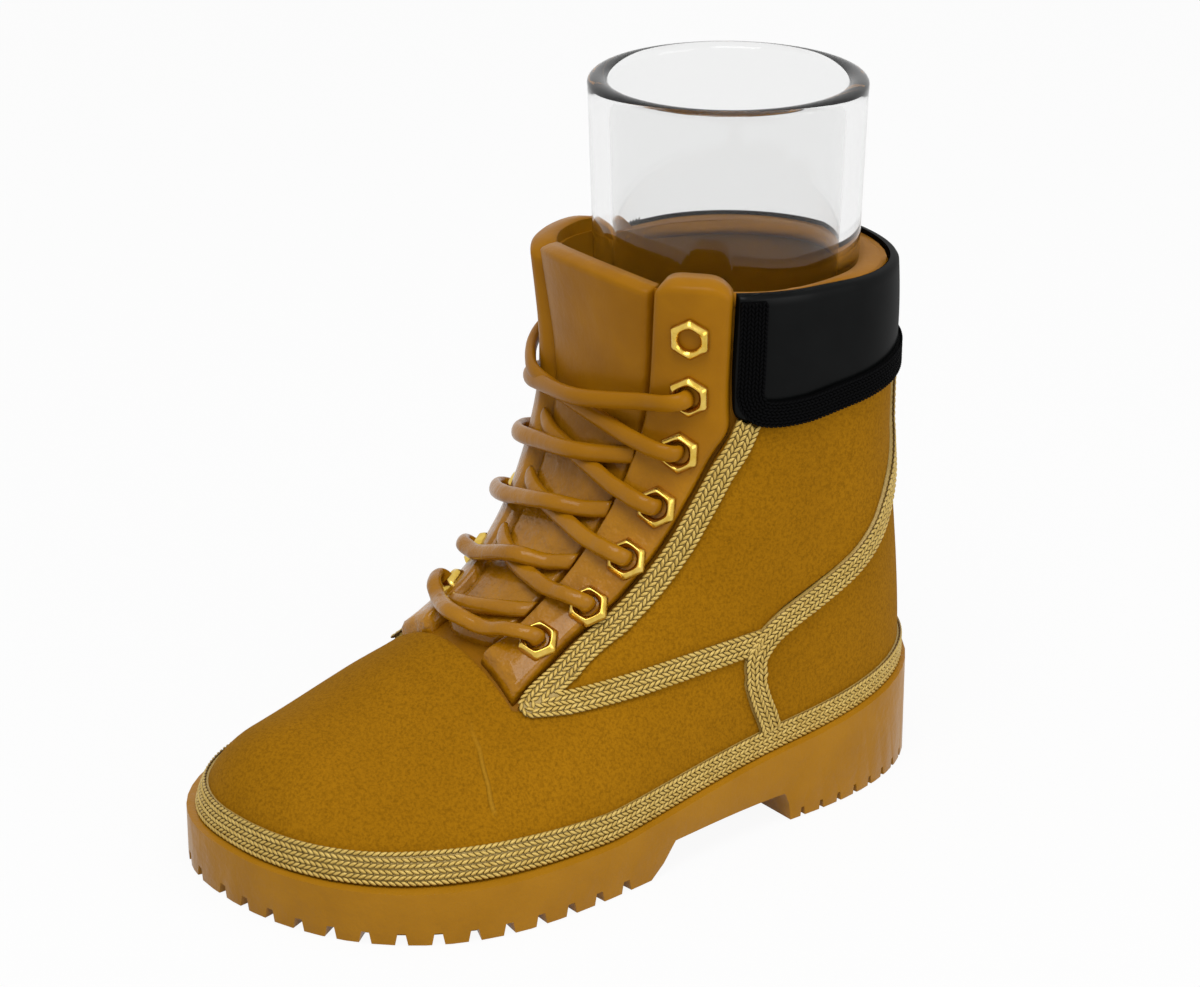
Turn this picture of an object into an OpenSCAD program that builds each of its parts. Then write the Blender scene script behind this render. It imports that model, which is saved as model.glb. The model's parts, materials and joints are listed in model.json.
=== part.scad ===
// Boot shot glass: a resin boot dressed with suede panels and braid, holding a lift-out glass.
// Millimetres. The toe points to -Y, the outer side of the boot is +X, and Z is up.

/* [Sole] */
// Length of the sole from heel to toe
sole_length = 119; // [110:1:130]
// Half width of the sole across the ball of the foot
ball_half = 32.2; // [30:0.2:34]
// Half width of the sole across the heel
heel_half = 28; // [26:0.5:31]
// How far the toe point leans to the inner side
toe_lean = 6; // [3:0.5:9]
// Distance from the toe to the widest part of the ball
ball_setback = 35; // [30:1:40]
// Distance from the heel to the widest part of the heel
heel_setback = 37; // [32:1:42]
// Thickness of the sole under the toe
sole_thickness = 8.1; // [6:0.1:11]
// Rise of the sole's upper edge for each millimetre towards the heel
sole_slope = 0.115; // [0.05:0.005:0.15]
// Height of the arch between the forefoot and the heel
arch_height = 4.8; // [2:0.1:5]
// Distance from the toe to the front end of the arch
arch_start = 53; // [48:1:56]
// Length of the heel block
heel_length = 37; // [32:0.5:42]
// Spacing of the lug notches round the forefoot
lug_pitch = 5.3; // [4:0.1:8]
// Spacing of the slits round the heel
slit_pitch = 3.8; // [3:0.1:6]
// Height of a lug notch
lug_height = 1.8; // [1:0.1:3]
// Width of a lug notch at the floor
lug_width = 2.3; // [1.5:0.1:3]
// How far a notch cuts in from the edge
lug_depth = 3; // [2:0.5:6]

/* [Upper] */
// Height of the collar above the floor
collar_height = 84; // [78:1:92]
// How much lower the collar is at the back
collar_drop = 2; // [0:0.2:4]
// How much lower the collar is on the inner side
collar_lean = 2; // [0:0.2:3]
// Half width of the shaft
shaft_half = 25; // [24.4:0.2:28]
// How far the upper stands in from the edge of the sole
welt_inset = 2; // [1.6:0.1:3]
// Height of the toe cap
toe_height = 22.4; // [20:0.2:25]
// Distance from the toe to the crown of the toe cap
toe_run = 15; // [12:0.5:18]
// Distance from the toe to the foot of the tongue
throat_setback = 37.5; // [35:0.5:41]
// Height of the foot of the tongue
throat_height = 30.6; // [29.6:0.2:32]
// Height at which the instep turns upright
instep_top = 66; // [60:1:70]
// Distance from the glass axis to the front of the shaft
shaft_front = 24.5; // [23.5:0.5:27]
// Distance from the glass axis to the back of the shaft
shaft_back = 24; // [24:0.2:28]
// How much the heel swells behind the shaft
heel_swell = 4; // [1:0.1:5]
// How far the tongue leans forward at the collar
tongue_lean = 3; // [0:0.2:4]
// Roundness of the cross sections over the toes, 2 is an ellipse
toe_fullness = 1.8; // [1.7:0.05:2.3]
// Roundness of the cross sections of the shaft
shaft_fullness = 2.15; // [2:0.05:2.5]
// Added roundness of the shaft on the inner side
inner_fullness = 0.4; // [0:0.05:0.5]

/* [Panels and trim] */
// Thickness of the suede panels
suede_thickness = 1; // [0.6:0.1:1.6]
// Step of the eyestays above the suede
eyestay_step = 1.4; // [0.8:0.1:2]
// Thickness of the braid
braid_thickness = 1.1; // [0.7:0.1:1.5]
// Width of the gold braid over the seams
braid_width = 3.7; // [3:0.1:4.2]
// Width of the gold braid round the welt
welt_width = 4.2; // [3:0.1:5]
// Height of the seam between the toe panel and the side panels
seam_height = 25.8; // [24.5:0.1:27]
// How much that seam rises towards the heel
seam_rise = 2.7; // [0.5:0.1:4]
// Height of the lower edge of the collar band
collar_seam = 64; // [60:0.5:68]
// How much that edge rises towards the back
collar_rise = 2.4; // [0:0.2:3]
// Step of the collar band above the suede
collar_step = 0.3; // [0.2:0.1:1]
// Distance from the glass axis forward to the front edge of the collar band
collar_front = 15.5; // [13:0.5:18]
// Half width of the tongue at its foot
tongue_foot_half = 5.2; // [4.6:0.2:7]
// Half width of the tongue at the collar
tongue_top_half = 12.5; // [11:0.5:14]
// How much further the tongue reaches on the inner side
tongue_shift = 2.5; // [0:0.5:3]
// How much further back the lacing sits on the inner side
lacing_shift = 7; // [4:0.5:8]
inner_reach = 4.5; // [3.5:0.5:5]
// Glue line between pieces laid on each other
glue = 0.4; // [0.3:0.05:0.5]

/* [Lacing] */
// Eyelets on each side
eyelet_count = 7; // [5:1:7]
// Distance between eyelets along the eyestay
eyelet_pitch = 9.2; // [7.5:0.1:9.3]
// Height of the lowest eyelet
eyelet_start = 32.4; // [32:0.1:33.5]
// Distance from the edge of the tongue to the middle of the eyelets
eyelet_setback = 6.8; // [6:0.1:7.2]
// Eyelet size over the corners
eyelet_size = 6.6; // [5.5:0.1:7]
// Diameter of the hole in an eyelet
eyelet_hole = 3.3; // [3.1:0.1:3.8]
// Thickness of an eyelet
eyelet_thickness = 1.2; // [0.8:0.1:1.6]
// Diameter of the lace
lace_diameter = 2.7; // [1.8:0.1:2.8]

/* [Glass] */
// Outer diameter of the glass at the rim
rim_diameter = 42; // [38:0.5:43]
// Height of the glass
glass_height = 60; // [50:1:70]
// How far the rim stands above the collar
rim_above_collar = 25.6; // [18:0.2:32]
// Distance from the back of the heel to the glass axis
glass_setback = 28.5; // [27.5:0.5:30]
// Wall thickness at the rim
glass_wall = 3.1; // [2:0.1:4]
// Thickness of the glass base
glass_base = 9; // [5:0.5:14]
// Half angle of the glass taper
glass_taper = 1.8; // [0.5:0.1:3]
// Clearance round the foot of the glass
seat_clearance = 0.4; // [0.3:0.05:0.8]
// Gap between the glass and the lining at the collar
collar_gap = 1.2; // [0.8:0.1:1.5]
// Thickness of the lining in front of the glass
lining = 1.6; // [1.2:0.1:2]
// Depth of the hollow in front of the glass
hollow_depth = 24; // [16:1:28]

/* [Hidden] */

// Colours as the photograph shows them
RESIN = "#c07f26";
SUEDE = "#a8780f";
BRAID = "#c9a84a";
BLACK = "#17181a";
BRASS = "#d8b13c";
CLEAR = [0.86, 0.88, 0.88, 0.5];

// Stations along the boot
toe_y = -sole_length / 2;
heel_y = sole_length / 2;
ball_y = toe_y + ball_setback;
heel_mid_y = heel_y - heel_setback;
glass_y = heel_y - glass_setback;
bend_y = toe_y + 47;
side_y = glass_y - 3;

// Heights
welt = sole_thickness;
level_fade = 45;
section_foot = welt - 3;
rim_z = collar_height + rim_above_collar;
glass_foot = rim_z - glass_height;

// Layers, measured outwards from the face of the suede
core_depth = suede_thickness + glue;
braid_low = 0.2;
braid_high = braid_low + braid_thickness;

function mix(a, b, k) = a + (b - a) * k;
function ease(a, b, v) = let (k = min(1, max(0, (v - a) / (b - a)))) k * k * (3 - 2 * k);
function unit(v) = v / norm(v);
function bezier(p, k) = pow(1 - k, 3) * p[0] + 3 * k * pow(1 - k, 2) * p[1]
                      + 3 * k * k * (1 - k) * p[2] + pow(k, 3) * p[3];
function bow(v, n) = pow(max(0, 1 - pow(min(1, max(0, v)), n)), 1 / n);
function running(list, i = 0, sum = 0) =
    i >= len(list) ? [] : concat([sum], running(list, i + 1,
        sum + (i + 1 < len(list) ? norm(list[i + 1] - list[i]) : 0)));

// Front ridge of the boot in the side view, [y, z]: toe cap, vamp, instep, tongue
crown_y = toe_y + toe_run;
throat_y = toe_y + throat_setback;
shaft_y = glass_y - shaft_front;
ridge_curves = [
    [[toe_y + 1.6, section_foot], [toe_y + 2, toe_height - 8], [crown_y - 9, toe_height - 1.2],
     [crown_y, toe_height]],
    [[crown_y, toe_height], [crown_y + 9, toe_height + 1.2], [throat_y - 9, throat_height - 3.6],
     [throat_y, throat_height]],
    [[throat_y, throat_height], [throat_y + 10, throat_height + 4], [shaft_y, instep_top - 20],
     [shaft_y, instep_top]],
    [[shaft_y, instep_top], [shaft_y, instep_top + 6],
     [shaft_y - tongue_lean / 2, collar_height - 6], [shaft_y - tongue_lean, collar_height + 6]]];
ridge = [for (c = ridge_curves, k = [0:0.05:0.999]) bezier(c, k)];
ridge_y_of_z = [for (p = ridge) [p[1], p[0]]];
ridge_z_of_y = [for (i = [0:59]) ridge[i]];

// Back of the boot in the side view, from the heel to the collar
back_y = glass_y + shaft_back;
back_curve = [[heel_y - welt_inset + 0.2, section_foot], [back_y + heel_swell * 1.5, 28],
              [back_y + heel_swell / 4, 42], [back_y, 56]];
back_y_of_z = concat([for (k = [0:0.05:1]) let (p = bezier(back_curve, k)) [p[1], p[0]]],
                     [[collar_height + 6, back_y + 0.5]]);

// Upper edges of the collar and of the sole, and heights that follow the sole near the floor
function collar_top(x, y) = collar_height - collar_drop * (y - shaft_y) / (back_y - shaft_y)
    - collar_lean * max(0, -x) / shaft_half;
function collar_at(side) = collar_height - (side < 0 ? collar_lean : 0);
function welt_z(y) = welt + sole_slope * max(0, y - bend_y);
function tilt(level, y) = sole_slope * max(0, y - max(bend_y, lookup(level, ridge_y_of_z)))
    * max(0, level_fade - level) / (level_fade - welt);
function z_of(level, y) = level + tilt(level, y);
function level_of(y, z, level, n = 8) = let (now = is_undef(level) ? z : level)
    n == 0 ? now : level_of(y, z, z - tilt(now, y), n - 1);

// Plan of the sole and of the upper above it
function side_half(y) = mix(ball_half, heel_half, ease(ball_y, heel_mid_y, y));
function toe_close(y, tip) = bow((ball_y - y) / (ball_y - tip), 2.2);
function middle_x(y) = -toe_lean * (1 - ease(toe_y, toe_y + 60, y));

// Half width of the upper at a place in the side view
function front_share(y, z) =
    let (k = 1 - ease(toe_y + 30, min(toe_y + 60, shaft_y - 6), y))
    k * (z - section_foot) / (lookup(y, ridge_z_of_y) - section_foot)
    + (1 - k) * ease(welt, seam_height, z) * (side_y - y) / (side_y - lookup(z, ridge_y_of_z));
function back_share(y, z) =
    let (mid = mix(heel_mid_y, glass_y + 3, ease(welt, level_fade, z)))
    (y - mid) / (lookup(z, back_y_of_z) - mid);
function upper_half(y, z) =
    let (foot = side_half(y) - welt_inset, rise = ease(welt, level_fade, z))
    mix(foot, shaft_half, rise) * bow(back_share(y, z), mix(2.5, 2.1, rise));
function upper_x(y, z, side) =
    let (mid = middle_x(y), round = shaft_fullness + (side < 0 ? inner_fullness : 0),
         full = mix(toe_fullness, round, ease(throat_height - 4, 56, z)),
         share = toe_close(y, toe_y + 1.5) * bow(front_share(y, z), full))
    mid + side * (upper_half(y, z) - side * mid) * share;

// The skin of the upper: turn 0 is the front ridge, 1 the outer side, 2 the back, 3 the inner side
function half_turn(turn) = turn <= 2 ? turn : 4 - turn;
function wrap(turn) = turn < 0 ? turn + 4 : (turn >= 4 ? turn - 4 : turn);
function turn_y(u, level) =
    u < 1 ? let (y0 = lookup(level, ridge_y_of_z)) y0 + (side_y - y0) * (1 - cos(90 * u))
          : side_y + (lookup(z_of(level, heel_y), back_y_of_z) - side_y) * sin(90 * (u - 1));
function turn_of(y, level) =
    y < side_y ? let (y0 = lookup(level, ridge_y_of_z))
                 acos(1 - max(0, y - y0) / (side_y - y0)) / 90
               : 1 + asin(min(1, (y - side_y)
                 / (lookup(z_of(level, heel_y), back_y_of_z) - side_y))) / 90;
function skin(turn, level) =
    let (w = wrap(turn), y = turn_y(half_turn(w), level), z = z_of(level, y))
    [upper_x(y, z, w <= 2 ? 1 : -1), y, z];
function along(p) = (skin(p[0] + 0.01, p[1]) - skin(p[0] - 0.01, p[1])) / 0.02;
function upward(p) = (skin(p[0], p[1] + 0.2) - skin(p[0], p[1] - 0.2)) / 0.4;
function outward(p) = unit(cross(along(p), upward(p)));
function over(p, height) = skin(p[0], p[1]) + height * outward(p);
function slide(p, d) =
    let (a = along(p), b = upward(p), aa = a * a, ab = a * b, bb = b * b, det = aa * bb - ab * ab)
    p + [(d * a * bb - d * b * ab) / det, (d * b * aa - d * a * ab) / det];

// Places in the side view, and by distance from the middle, as [turn, level]
function spot(y, z) = let (level = level_of(y, z)) [turn_of(y, level), level];
function turn_at_x(x, level, side, a = 0, b = 1, n = 14) =
    n == 0 ? (a + b) / 2
    : let (m = (a + b) / 2)
      side * skin(side * m, level)[0] < x ? turn_at_x(x, level, side, m, b, n - 1)
                                          : turn_at_x(x, level, side, a, m, n - 1);
function other_side(p) = [4 - p[0], p[1]];

// Smooth line through a few places
function spline(pts, k) =
    let (n = len(pts) - 1, s = min(n - 0.0001, max(0, k * n)), i = floor(s), f = s - i,
         a = pts[max(0, i - 1)], b = pts[i], c = pts[i + 1], d = pts[min(n, i + 2)])
    b + f * (c - a) / 2 + f * f * (a - 2.5 * b + 2 * c - d / 2)
      + f * f * f * (1.5 * (b - c) + (d - a) / 2);

// Seams in the side view, [y, z], from the floor upwards. The eyestay seam was drawn for an instep of
// 53 mm from the foot of the tongue to the glass axis, and stretches with it
instep_stretch = (glass_y - throat_y) / 53;
eyestay_seam = [for (p = [[-53.5, -6.6], [-50.3, -4.4], [-47.9, -3.1], [-43.4, -0.2], [-38.2, 3],
                          [-33.3, 6.3], [-28.4, 10.7], [-24.2, 15.9], [-20.8, 21.8], [-17.8, 28],
                          [-15.4, 33.2], [-14.8, 39.4]])
                [glass_y + instep_stretch * p[0], throat_height + p[1]]];
counter_seam = [for (p = [[20, 12], [19.5, 16], [17.4, 22], [17.6, 27.5], [21.8, 31.6], [28.6, 34.6],
                          [36, 37.8], [41.5, 41.6], [45.6, 46.6], [49, 51], [51, 57],
                          [51.3, 70]]) [p[0] + glass_y - 31, p[1]]];
function seam_table(seam) =
    [for (k = [0:0.02:1]) let (p = spline(seam, k)) [level_of(p[0], p[1]), p[0]]];
eyestay_table = seam_table(eyestay_seam);
counter_table = seam_table(counter_seam);
function inner(level, side) = side < 0 ? lacing_shift * ease(throat_height - 2, 50, level) : 0;
function inner_rear(level, side) =
    inner(level, side) + (side < 0 ? inner_reach * ease(throat_height - 2, throat_height + 5, level) : 0);
function eyestay_turn(level, side) =
    turn_of(lookup(level, eyestay_table) + inner_rear(level, side), level);
function counter_turn(level) = turn_of(lookup(level, counter_table), level);
collar_front_y = glass_y - collar_front;
function collar_turn(level, side) = turn_of(collar_front_y + inner_rear(level, side), level);
function collar_edge(turn) = collar_seam + collar_rise * ease(0.8, 1.7, half_turn(wrap(turn)));
function tongue_half(level, side) =
    mix(tongue_foot_half, tongue_top_half, (level - throat_height) / (collar_height - throat_height))
    + (side < 0 ? tongue_shift : 0);
function tongue_turn(level, side) = turn_at_x(tongue_half(level, side), level, side);
function seam_level(turn) = seam_height + seam_rise * ease(0.45, 0.97, half_turn(wrap(turn)));
// The toe panel ends on a line across the boot, then on the side seam
gore_y = throat_y + 2.3;
gore_head = lookup(gore_y, ridge_z_of_y);
gore_table = [for (k = [0:0.05:1.001]) let (level = mix(gore_head, seam_height, k))
              [turn_of(gore_y, level), level]];
function throat_level(turn) =
    let (u = half_turn(wrap(turn))) max(seam_level(u), lookup(u, gore_table));

// A closed shell over a patch of the skin, between two heights above it
module patch(cols, rows, place, low, high, ring = false) {
    n = ring ? cols : cols + 1;
    function at(i, j, h) = over(place(i / cols, j / rows), h);
    pts = [for (h = [high, low], j = [0:rows], i = [0:n - 1]) at(i, j, h)];
    function id(layer, i, j) = layer * n * (rows + 1) + j * n + i % n;
    function quad(a, b, c, d) = [[a, b, c], [a, c, d]];
    outer = [for (j = [0:rows - 1], i = [0:cols - 1])
             each quad(id(0, i, j), id(0, i, j + 1), id(0, i + 1, j + 1), id(0, i + 1, j))];
    inner = [for (j = [0:rows - 1], i = [0:cols - 1])
             each quad(id(1, i, j), id(1, i + 1, j), id(1, i + 1, j + 1), id(1, i, j + 1))];
    foot = [for (i = [0:cols - 1])
            each quad(id(0, i, 0), id(0, i + 1, 0), id(1, i + 1, 0), id(1, i, 0))];
    head = [for (i = [0:cols - 1])
            each quad(id(1, i, rows), id(1, i + 1, rows), id(0, i + 1, rows), id(0, i, rows))];
    ends = ring ? [] : [for (j = [0:rows - 1])
            each concat(quad(id(0, 0, j), id(1, 0, j), id(1, 0, j + 1), id(0, 0, j + 1)),
                        quad(id(0, cols, j + 1), id(1, cols, j + 1), id(1, cols, j),
                             id(0, cols, j)))];
    polyhedron(pts, concat(outer, inner, foot, head, ends), convexity = 6);
}

// The same patch on the inner side of the boot
function mirrored(place) = function (p, q) other_side(place(1 - p, q));

// A band of braid along a line of places on the skin, or to one side of it
function band(line, width, aside = 0) = function (p, q)
    let (here = spline(line, p), a = spline(line, max(0, p - 0.01)), b = spline(line, min(1, p + 0.01)),
         way = unit(skin(b[0], b[1]) - skin(a[0], a[1])))
    slide(here, cross(outward(here), way) * (width * (q - 0.5) + aside));

// Where a band reaches an edge given as a table of turns by level
function edge_table(place, q) = [for (k = [0:0.04:1.001]) let (p = place(k, q)) [p[1], p[0]]];
function meet(place, q, table, gap, a = 0, b = 1, n = 10) =
    n == 0 ? (a + b) / 2
    : let (m = (a + b) / 2, p = place(m, q))
      p[0] + gap < lookup(p[1], table) ? meet(place, q, table, gap, m, b, n - 1)
                                       : meet(place, q, table, gap, a, m, n - 1);

// Sole: plan outline, side profile and tread
function plan_point(u, side) =
    u < 1 ? let (a = 90 * u, e = pow(sin(a), 2 / 2.2), y = ball_y - ball_setback * pow(cos(a), 2 / 2.2),
                 mid = middle_x(y)) [mid + side * (ball_half - side * mid) * e, y]
    : u < 2 ? let (y = mix(ball_y, heel_mid_y, u - 1)) [side * side_half(y), y]
    : let (a = 90 * (u - 2)) [side * heel_half * pow(cos(a), 2 / 2.5),
                              heel_mid_y + heel_setback * pow(sin(a), 2 / 2.5)];
plan_steps = 14;
plan = concat([for (i = [0:3 * plan_steps]) plan_point(i / plan_steps, 1)],
              [for (i = [3 * plan_steps - 1:-1:1]) plan_point(i / plan_steps, -1)]);
plan_run = running(concat(plan, [plan[0]]));
plan_length = plan_run[len(plan)];
plan_x = [for (i = [0:len(plan)]) [plan_run[i], plan[i % len(plan)][0]]];
plan_y = [for (i = [0:len(plan)]) [plan_run[i], plan[i % len(plan)][1]]];
function plan_at(s) = let (r = (s + plan_length) % plan_length) [lookup(r, plan_x), lookup(r, plan_y)];

arch_front = toe_y + arch_start;
heel_front = heel_y - heel_length;
arch_lean = 2.5;
profile = [[toe_y - 1, 0], [arch_front, 0], [arch_front + arch_lean, arch_height * 0.4],
           [arch_front + 2 * arch_lean, arch_height], [heel_front - 1.2, arch_height],
           [heel_front - 0.4, arch_height * 0.6], [heel_front, 0], [heel_y + 1, 0],
           [heel_y + 1, welt_z(heel_y + 1)], [bend_y, welt], [toe_y - 1, welt]];

module notch(s, wide, high) {
    p = plan_at(s);
    d = plan_at(s + 0.5) - plan_at(s - 0.5);
    translate([p[0], p[1], 0]) rotate([90, 0, atan2(d[1], d[0])])
        translate([0, 0, -lug_depth]) linear_extrude(2 * lug_depth)
            polygon([[-wide / 2, -1], [wide / 2, -1], [wide / 4, high], [-wide / 4, high]]);
}

module outsole() {
    color(RESIN) difference() {
        intersection() {
            linear_extrude(welt_z(heel_y) + 1) polygon(plan);
            rotate([90, 0, 90]) linear_extrude(4 * ball_half, center = true) polygon(profile);
        }
        for (s = [lug_pitch / 2:lug_pitch:plan_length])
            if (plan_at(s)[1] < arch_front - lug_width) notch(s, lug_width, lug_height);
        for (s = [slit_pitch / 2:slit_pitch:plan_length])
            if (plan_at(s)[1] > heel_front + lug_width) notch(s, lug_width / 2, lug_height * 0.8);
    }
}

// Resin body of the boot, with the tapered socket that holds the glass
core_levels = [welt, 11, 15, 19, 22, 24, 25.2, 26.2, 27.5, 29.5, 32, 35.5, 40, 46, 54, 64, 74];
core_steps = 48;
function core_point(turn, level) = over([turn, level], -core_depth);
module core_form() {
    rows = concat(core_levels, [collar_height]);
    n = core_steps;
    top = len(rows) - 1;
    function at(i, j) =
        let (p = core_point(4 * i / n, rows[j]))
        j == 0 ? [p[0], p[1], welt_z(p[1]) + 0.02] : (j == top ? [p[0], p[1], collar_top(p[0], p[1])] : p);
    pts = [for (j = [0:top], i = [0:n - 1]) at(i, j)];
    function id(i, j) = j * n + i % n;
    walls = [for (j = [0:top - 1], i = [0:n - 1])
             each [[id(i, j), id(i, j + 1), id(i + 1, j + 1)], [id(i, j), id(i + 1, j + 1), id(i + 1, j)]]];
    function cap(j) = [for (i = [0:n / 2 - 1])
        each concat(i > 0 ? [[id(i, j), id(i + 1, j), id(n - i, j)]] : [],
                    i < n / 2 - 1 ? [[id(i + 1, j), id(n - i - 1, j), id(n - i, j)]] : [])];
    lid = [for (f = cap(top)) [f[2], f[1], f[0]]];
    polyhedron(pts, concat(walls, cap(0), lid), convexity = 6);
}

socket_foot = rim_diameter / 2 - glass_height * tan(glass_taper) + seat_clearance;
socket_mouth = rim_diameter / 2 - rim_above_collar * tan(glass_taper) + collar_gap;
socket_floor = glass_foot - seat_clearance;
lip = min(1, 0.6 * (shaft_back - core_depth - socket_mouth));
mouth_z = collar_top(0, glass_y);

// The mouth of the boot opens wider than the glass at the front, and its rear half lies in the socket
module hollow() {
    n = 40;
    levels = [for (k = [0:0.25:1]) mix(collar_height - hollow_depth, collar_height + 3, k)];
    top = len(levels) - 1;
    function at(turn, level) =
        over([turn, level], -core_depth - lining - 3 * ease(0.85, 1.35, half_turn(turn)));
    pts = [for (j = [0:top], i = [0:n - 1]) at(4 * i / n, levels[j])];
    function id(i, j) = j * n + i % n;
    walls = [for (j = [0:top - 1], i = [0:n - 1])
             each [[id(i, j), id(i, j + 1), id(i + 1, j + 1)], [id(i, j), id(i + 1, j + 1), id(i + 1, j)]]];
    function cap(j) = [for (i = [0:n / 2 - 1])
        each concat(i > 0 ? [[id(i, j), id(i + 1, j), id(n - i, j)]] : [],
                    i < n / 2 - 1 ? [[id(i + 1, j), id(n - i - 1, j), id(n - i, j)]] : [])];
    lid = [for (f = cap(top)) [f[2], f[1], f[0]]];
    polyhedron(pts, concat(walls, cap(0), lid), convexity = 6);
}

module boot_core() {
    color(RESIN) difference() {
        core_form();
        hollow();
        translate([0, glass_y, 0]) rotate_extrude($fn = 96)
            polygon(concat([[0, socket_floor], [socket_foot, socket_floor]],
                [for (a = [0:15:90]) [socket_mouth + lip * (1 - cos(a)),
                                      mouth_z - lip + lip * sin(a)]],
                [[socket_mouth + lip, collar_height + 1], [0, collar_height + 1]]));
    }
}

// Tongue, between the eyestays
butt = 0.15;
backing = suede_thickness - 0.2;
function tongue_place(p, q) =
    let (level = mix(gore_head + 0.4, collar_height, q))
    [mix(-tongue_turn(level, -1), tongue_turn(level, 1), p), level + (1 - pow(2 * p - 1, 2)) * 1.2 * q];
module tongue() {
    color(RESIN) patch(8, 16, function (p, q) tongue_place(p, q), -backing, 0.1);
}

// Eyestays, the raised edges that carry the eyelets
tab_rise = 2.4;
function eyestay_rear(level, side) =
    let (low = eyestay_turn(level, side), high = collar_turn(level, side))
    mix(low, high, ease(collar_seam - 4, collar_seam + 2, level)) - butt / 24;
function eyestay_place(p, q, side) =
    let (row = mix(seam_height, collar_height, q), level = max(row, gore_head + 0.3),
         u0 = tongue_turn(level, side) + butt / 12, u = mix(u0, eyestay_rear(row, side), p),
         tab = tab_rise * (1 - pow(2 * p - 1, 4)) + 1.3 * (collar_at(side) - collar_height))
    [u, row + (1 - q) * (throat_level(u) - seam_height) + pow(q, 3) * tab];
module eyestay_left() {
    color(RESIN) patch(6, 18, function (p, q) eyestay_place(p, q, 1), -backing, eyestay_step);
}
module eyestay_right() {
    color(RESIN) patch(6, 18, mirrored(function (p, q) eyestay_place(p, q, -1)), -backing,
                       eyestay_step);
}

// Suede panels
panel_foot = welt + 0.5;
function vamp_place(p, q) =
    let (row = mix(panel_foot, seam_height - butt, q), u = counter_turn(row) - 0.012,
         turn = mix(-u, u, p), head = throat_level(turn) - butt)
    [turn, mix(panel_foot, head, q < 0.5 ? q * 1.2 : 0.6 + (q - 0.5) * 0.8)];
module vamp_panel() {
    color(SUEDE) patch(38, 14, function (p, q) vamp_place(p, q), -suede_thickness, 0);
}

function quarter_place(p, q, side) =
    let (row = mix(seam_height + 2 * butt, collar_seam - butt, q),
         turn = mix(eyestay_turn(row, side) + butt / 24, counter_turn(row) - butt / 24, p))
    [turn, row + (1 - q) * (seam_level(turn) - seam_height) + q * (collar_edge(turn) - collar_seam)];
module quarter_panel_left() {
    color(SUEDE) patch(13, 10, function (p, q) quarter_place(p, q, 1), -suede_thickness, 0);
}
module quarter_panel_right() {
    color(SUEDE) patch(13, 10, mirrored(function (p, q) quarter_place(p, q, -1)), -suede_thickness, 0);
}

function counter_place(p, q) =
    let (row = mix(panel_foot, collar_seam - butt, q), u = counter_turn(row) + 0.012,
         turn = mix(u, 4 - u, p))
    [turn, row + q * (collar_edge(turn) - collar_seam)];
module heel_counter() {
    color(SUEDE) patch(20, 14, function (p, q) counter_place(p, q), -suede_thickness, 0);
}

// Collar band and its binding
function collar_place(p, q) =
    let (row = mix(collar_seam, collar_height, q),
         turn = mix(collar_turn(row, 1), 4 - collar_turn(row, -1), p),
         rim = skin(turn, collar_height), top = collar_top(rim[0], rim[1]) - 0.4)
    [turn, mix(collar_edge(turn) + butt, top, q)];
module collar_band() {
    color(BLACK) patch(36, 4, function (p, q) collar_place(p, q), -suede_thickness, collar_step);
}

binding_width = 4;
binding_lift = binding_width / 2 - 0.4;
binding_row = collar_seam + binding_lift;
function binding_side(side) =
    let (y = collar_front_y + inner_rear(collar_seam, side) + binding_width / 2 + 0.1, corner = 3,
         head = collar_at(side) - 0.8)
    [spot(y, head), spot(y, mix(binding_row, head, 0.65)), spot(y, mix(binding_row, head, 0.35)),
     spot(y, binding_row + corner),
     spot(y + corner * 0.3, binding_row + corner * 0.3), spot(y + corner, binding_row),
     spot(y + 3 * corner, binding_row)];
function binding_line() =
    let (left = binding_side(1), right = binding_side(-1), n = len(left) - 1,
         from = left[n][0], to = 4 - right[n][0],
         rear = [for (k = [0.1:0.1:0.901]) let (turn = mix(from, to, k))
                 [turn, collar_edge(turn) + binding_lift]])
    concat(left, rear, [for (i = [n:-1:0]) other_side(right[i])]);
module collar_binding() {
    color(BLACK) patch(60, 2, band(binding_line(), binding_width), collar_step + braid_low,
                       collar_step + braid_low + 0.8);
}

// Gold braid over the seams
welt_foot = welt + 0.15;
module welt_braid() {
    color(BRAID) patch(76, 2, function (p, q) [4 * p, welt_foot + q * welt_width], braid_low,
                       braid_high, ring = true);
}

braid_gap = 0.006;
braid_end = binding_row - binding_width / 2 - 0.3;
counter_top = collar_edge(counter_turn(collar_seam)) - 0.9;
counter_line = [for (k = [0:22]) let (level = mix(welt_foot + welt_width + 0.5, counter_top, k / 22))
                [counter_turn(level), level]];
counter_band = band(counter_line, braid_width);
module counter_braid_left() {
    color(BRAID) patch(26, 2, counter_band, braid_low, braid_high);
}
module counter_braid_right() {
    color(BRAID) patch(26, 2, mirrored(counter_band), braid_low, braid_high);
}

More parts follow.
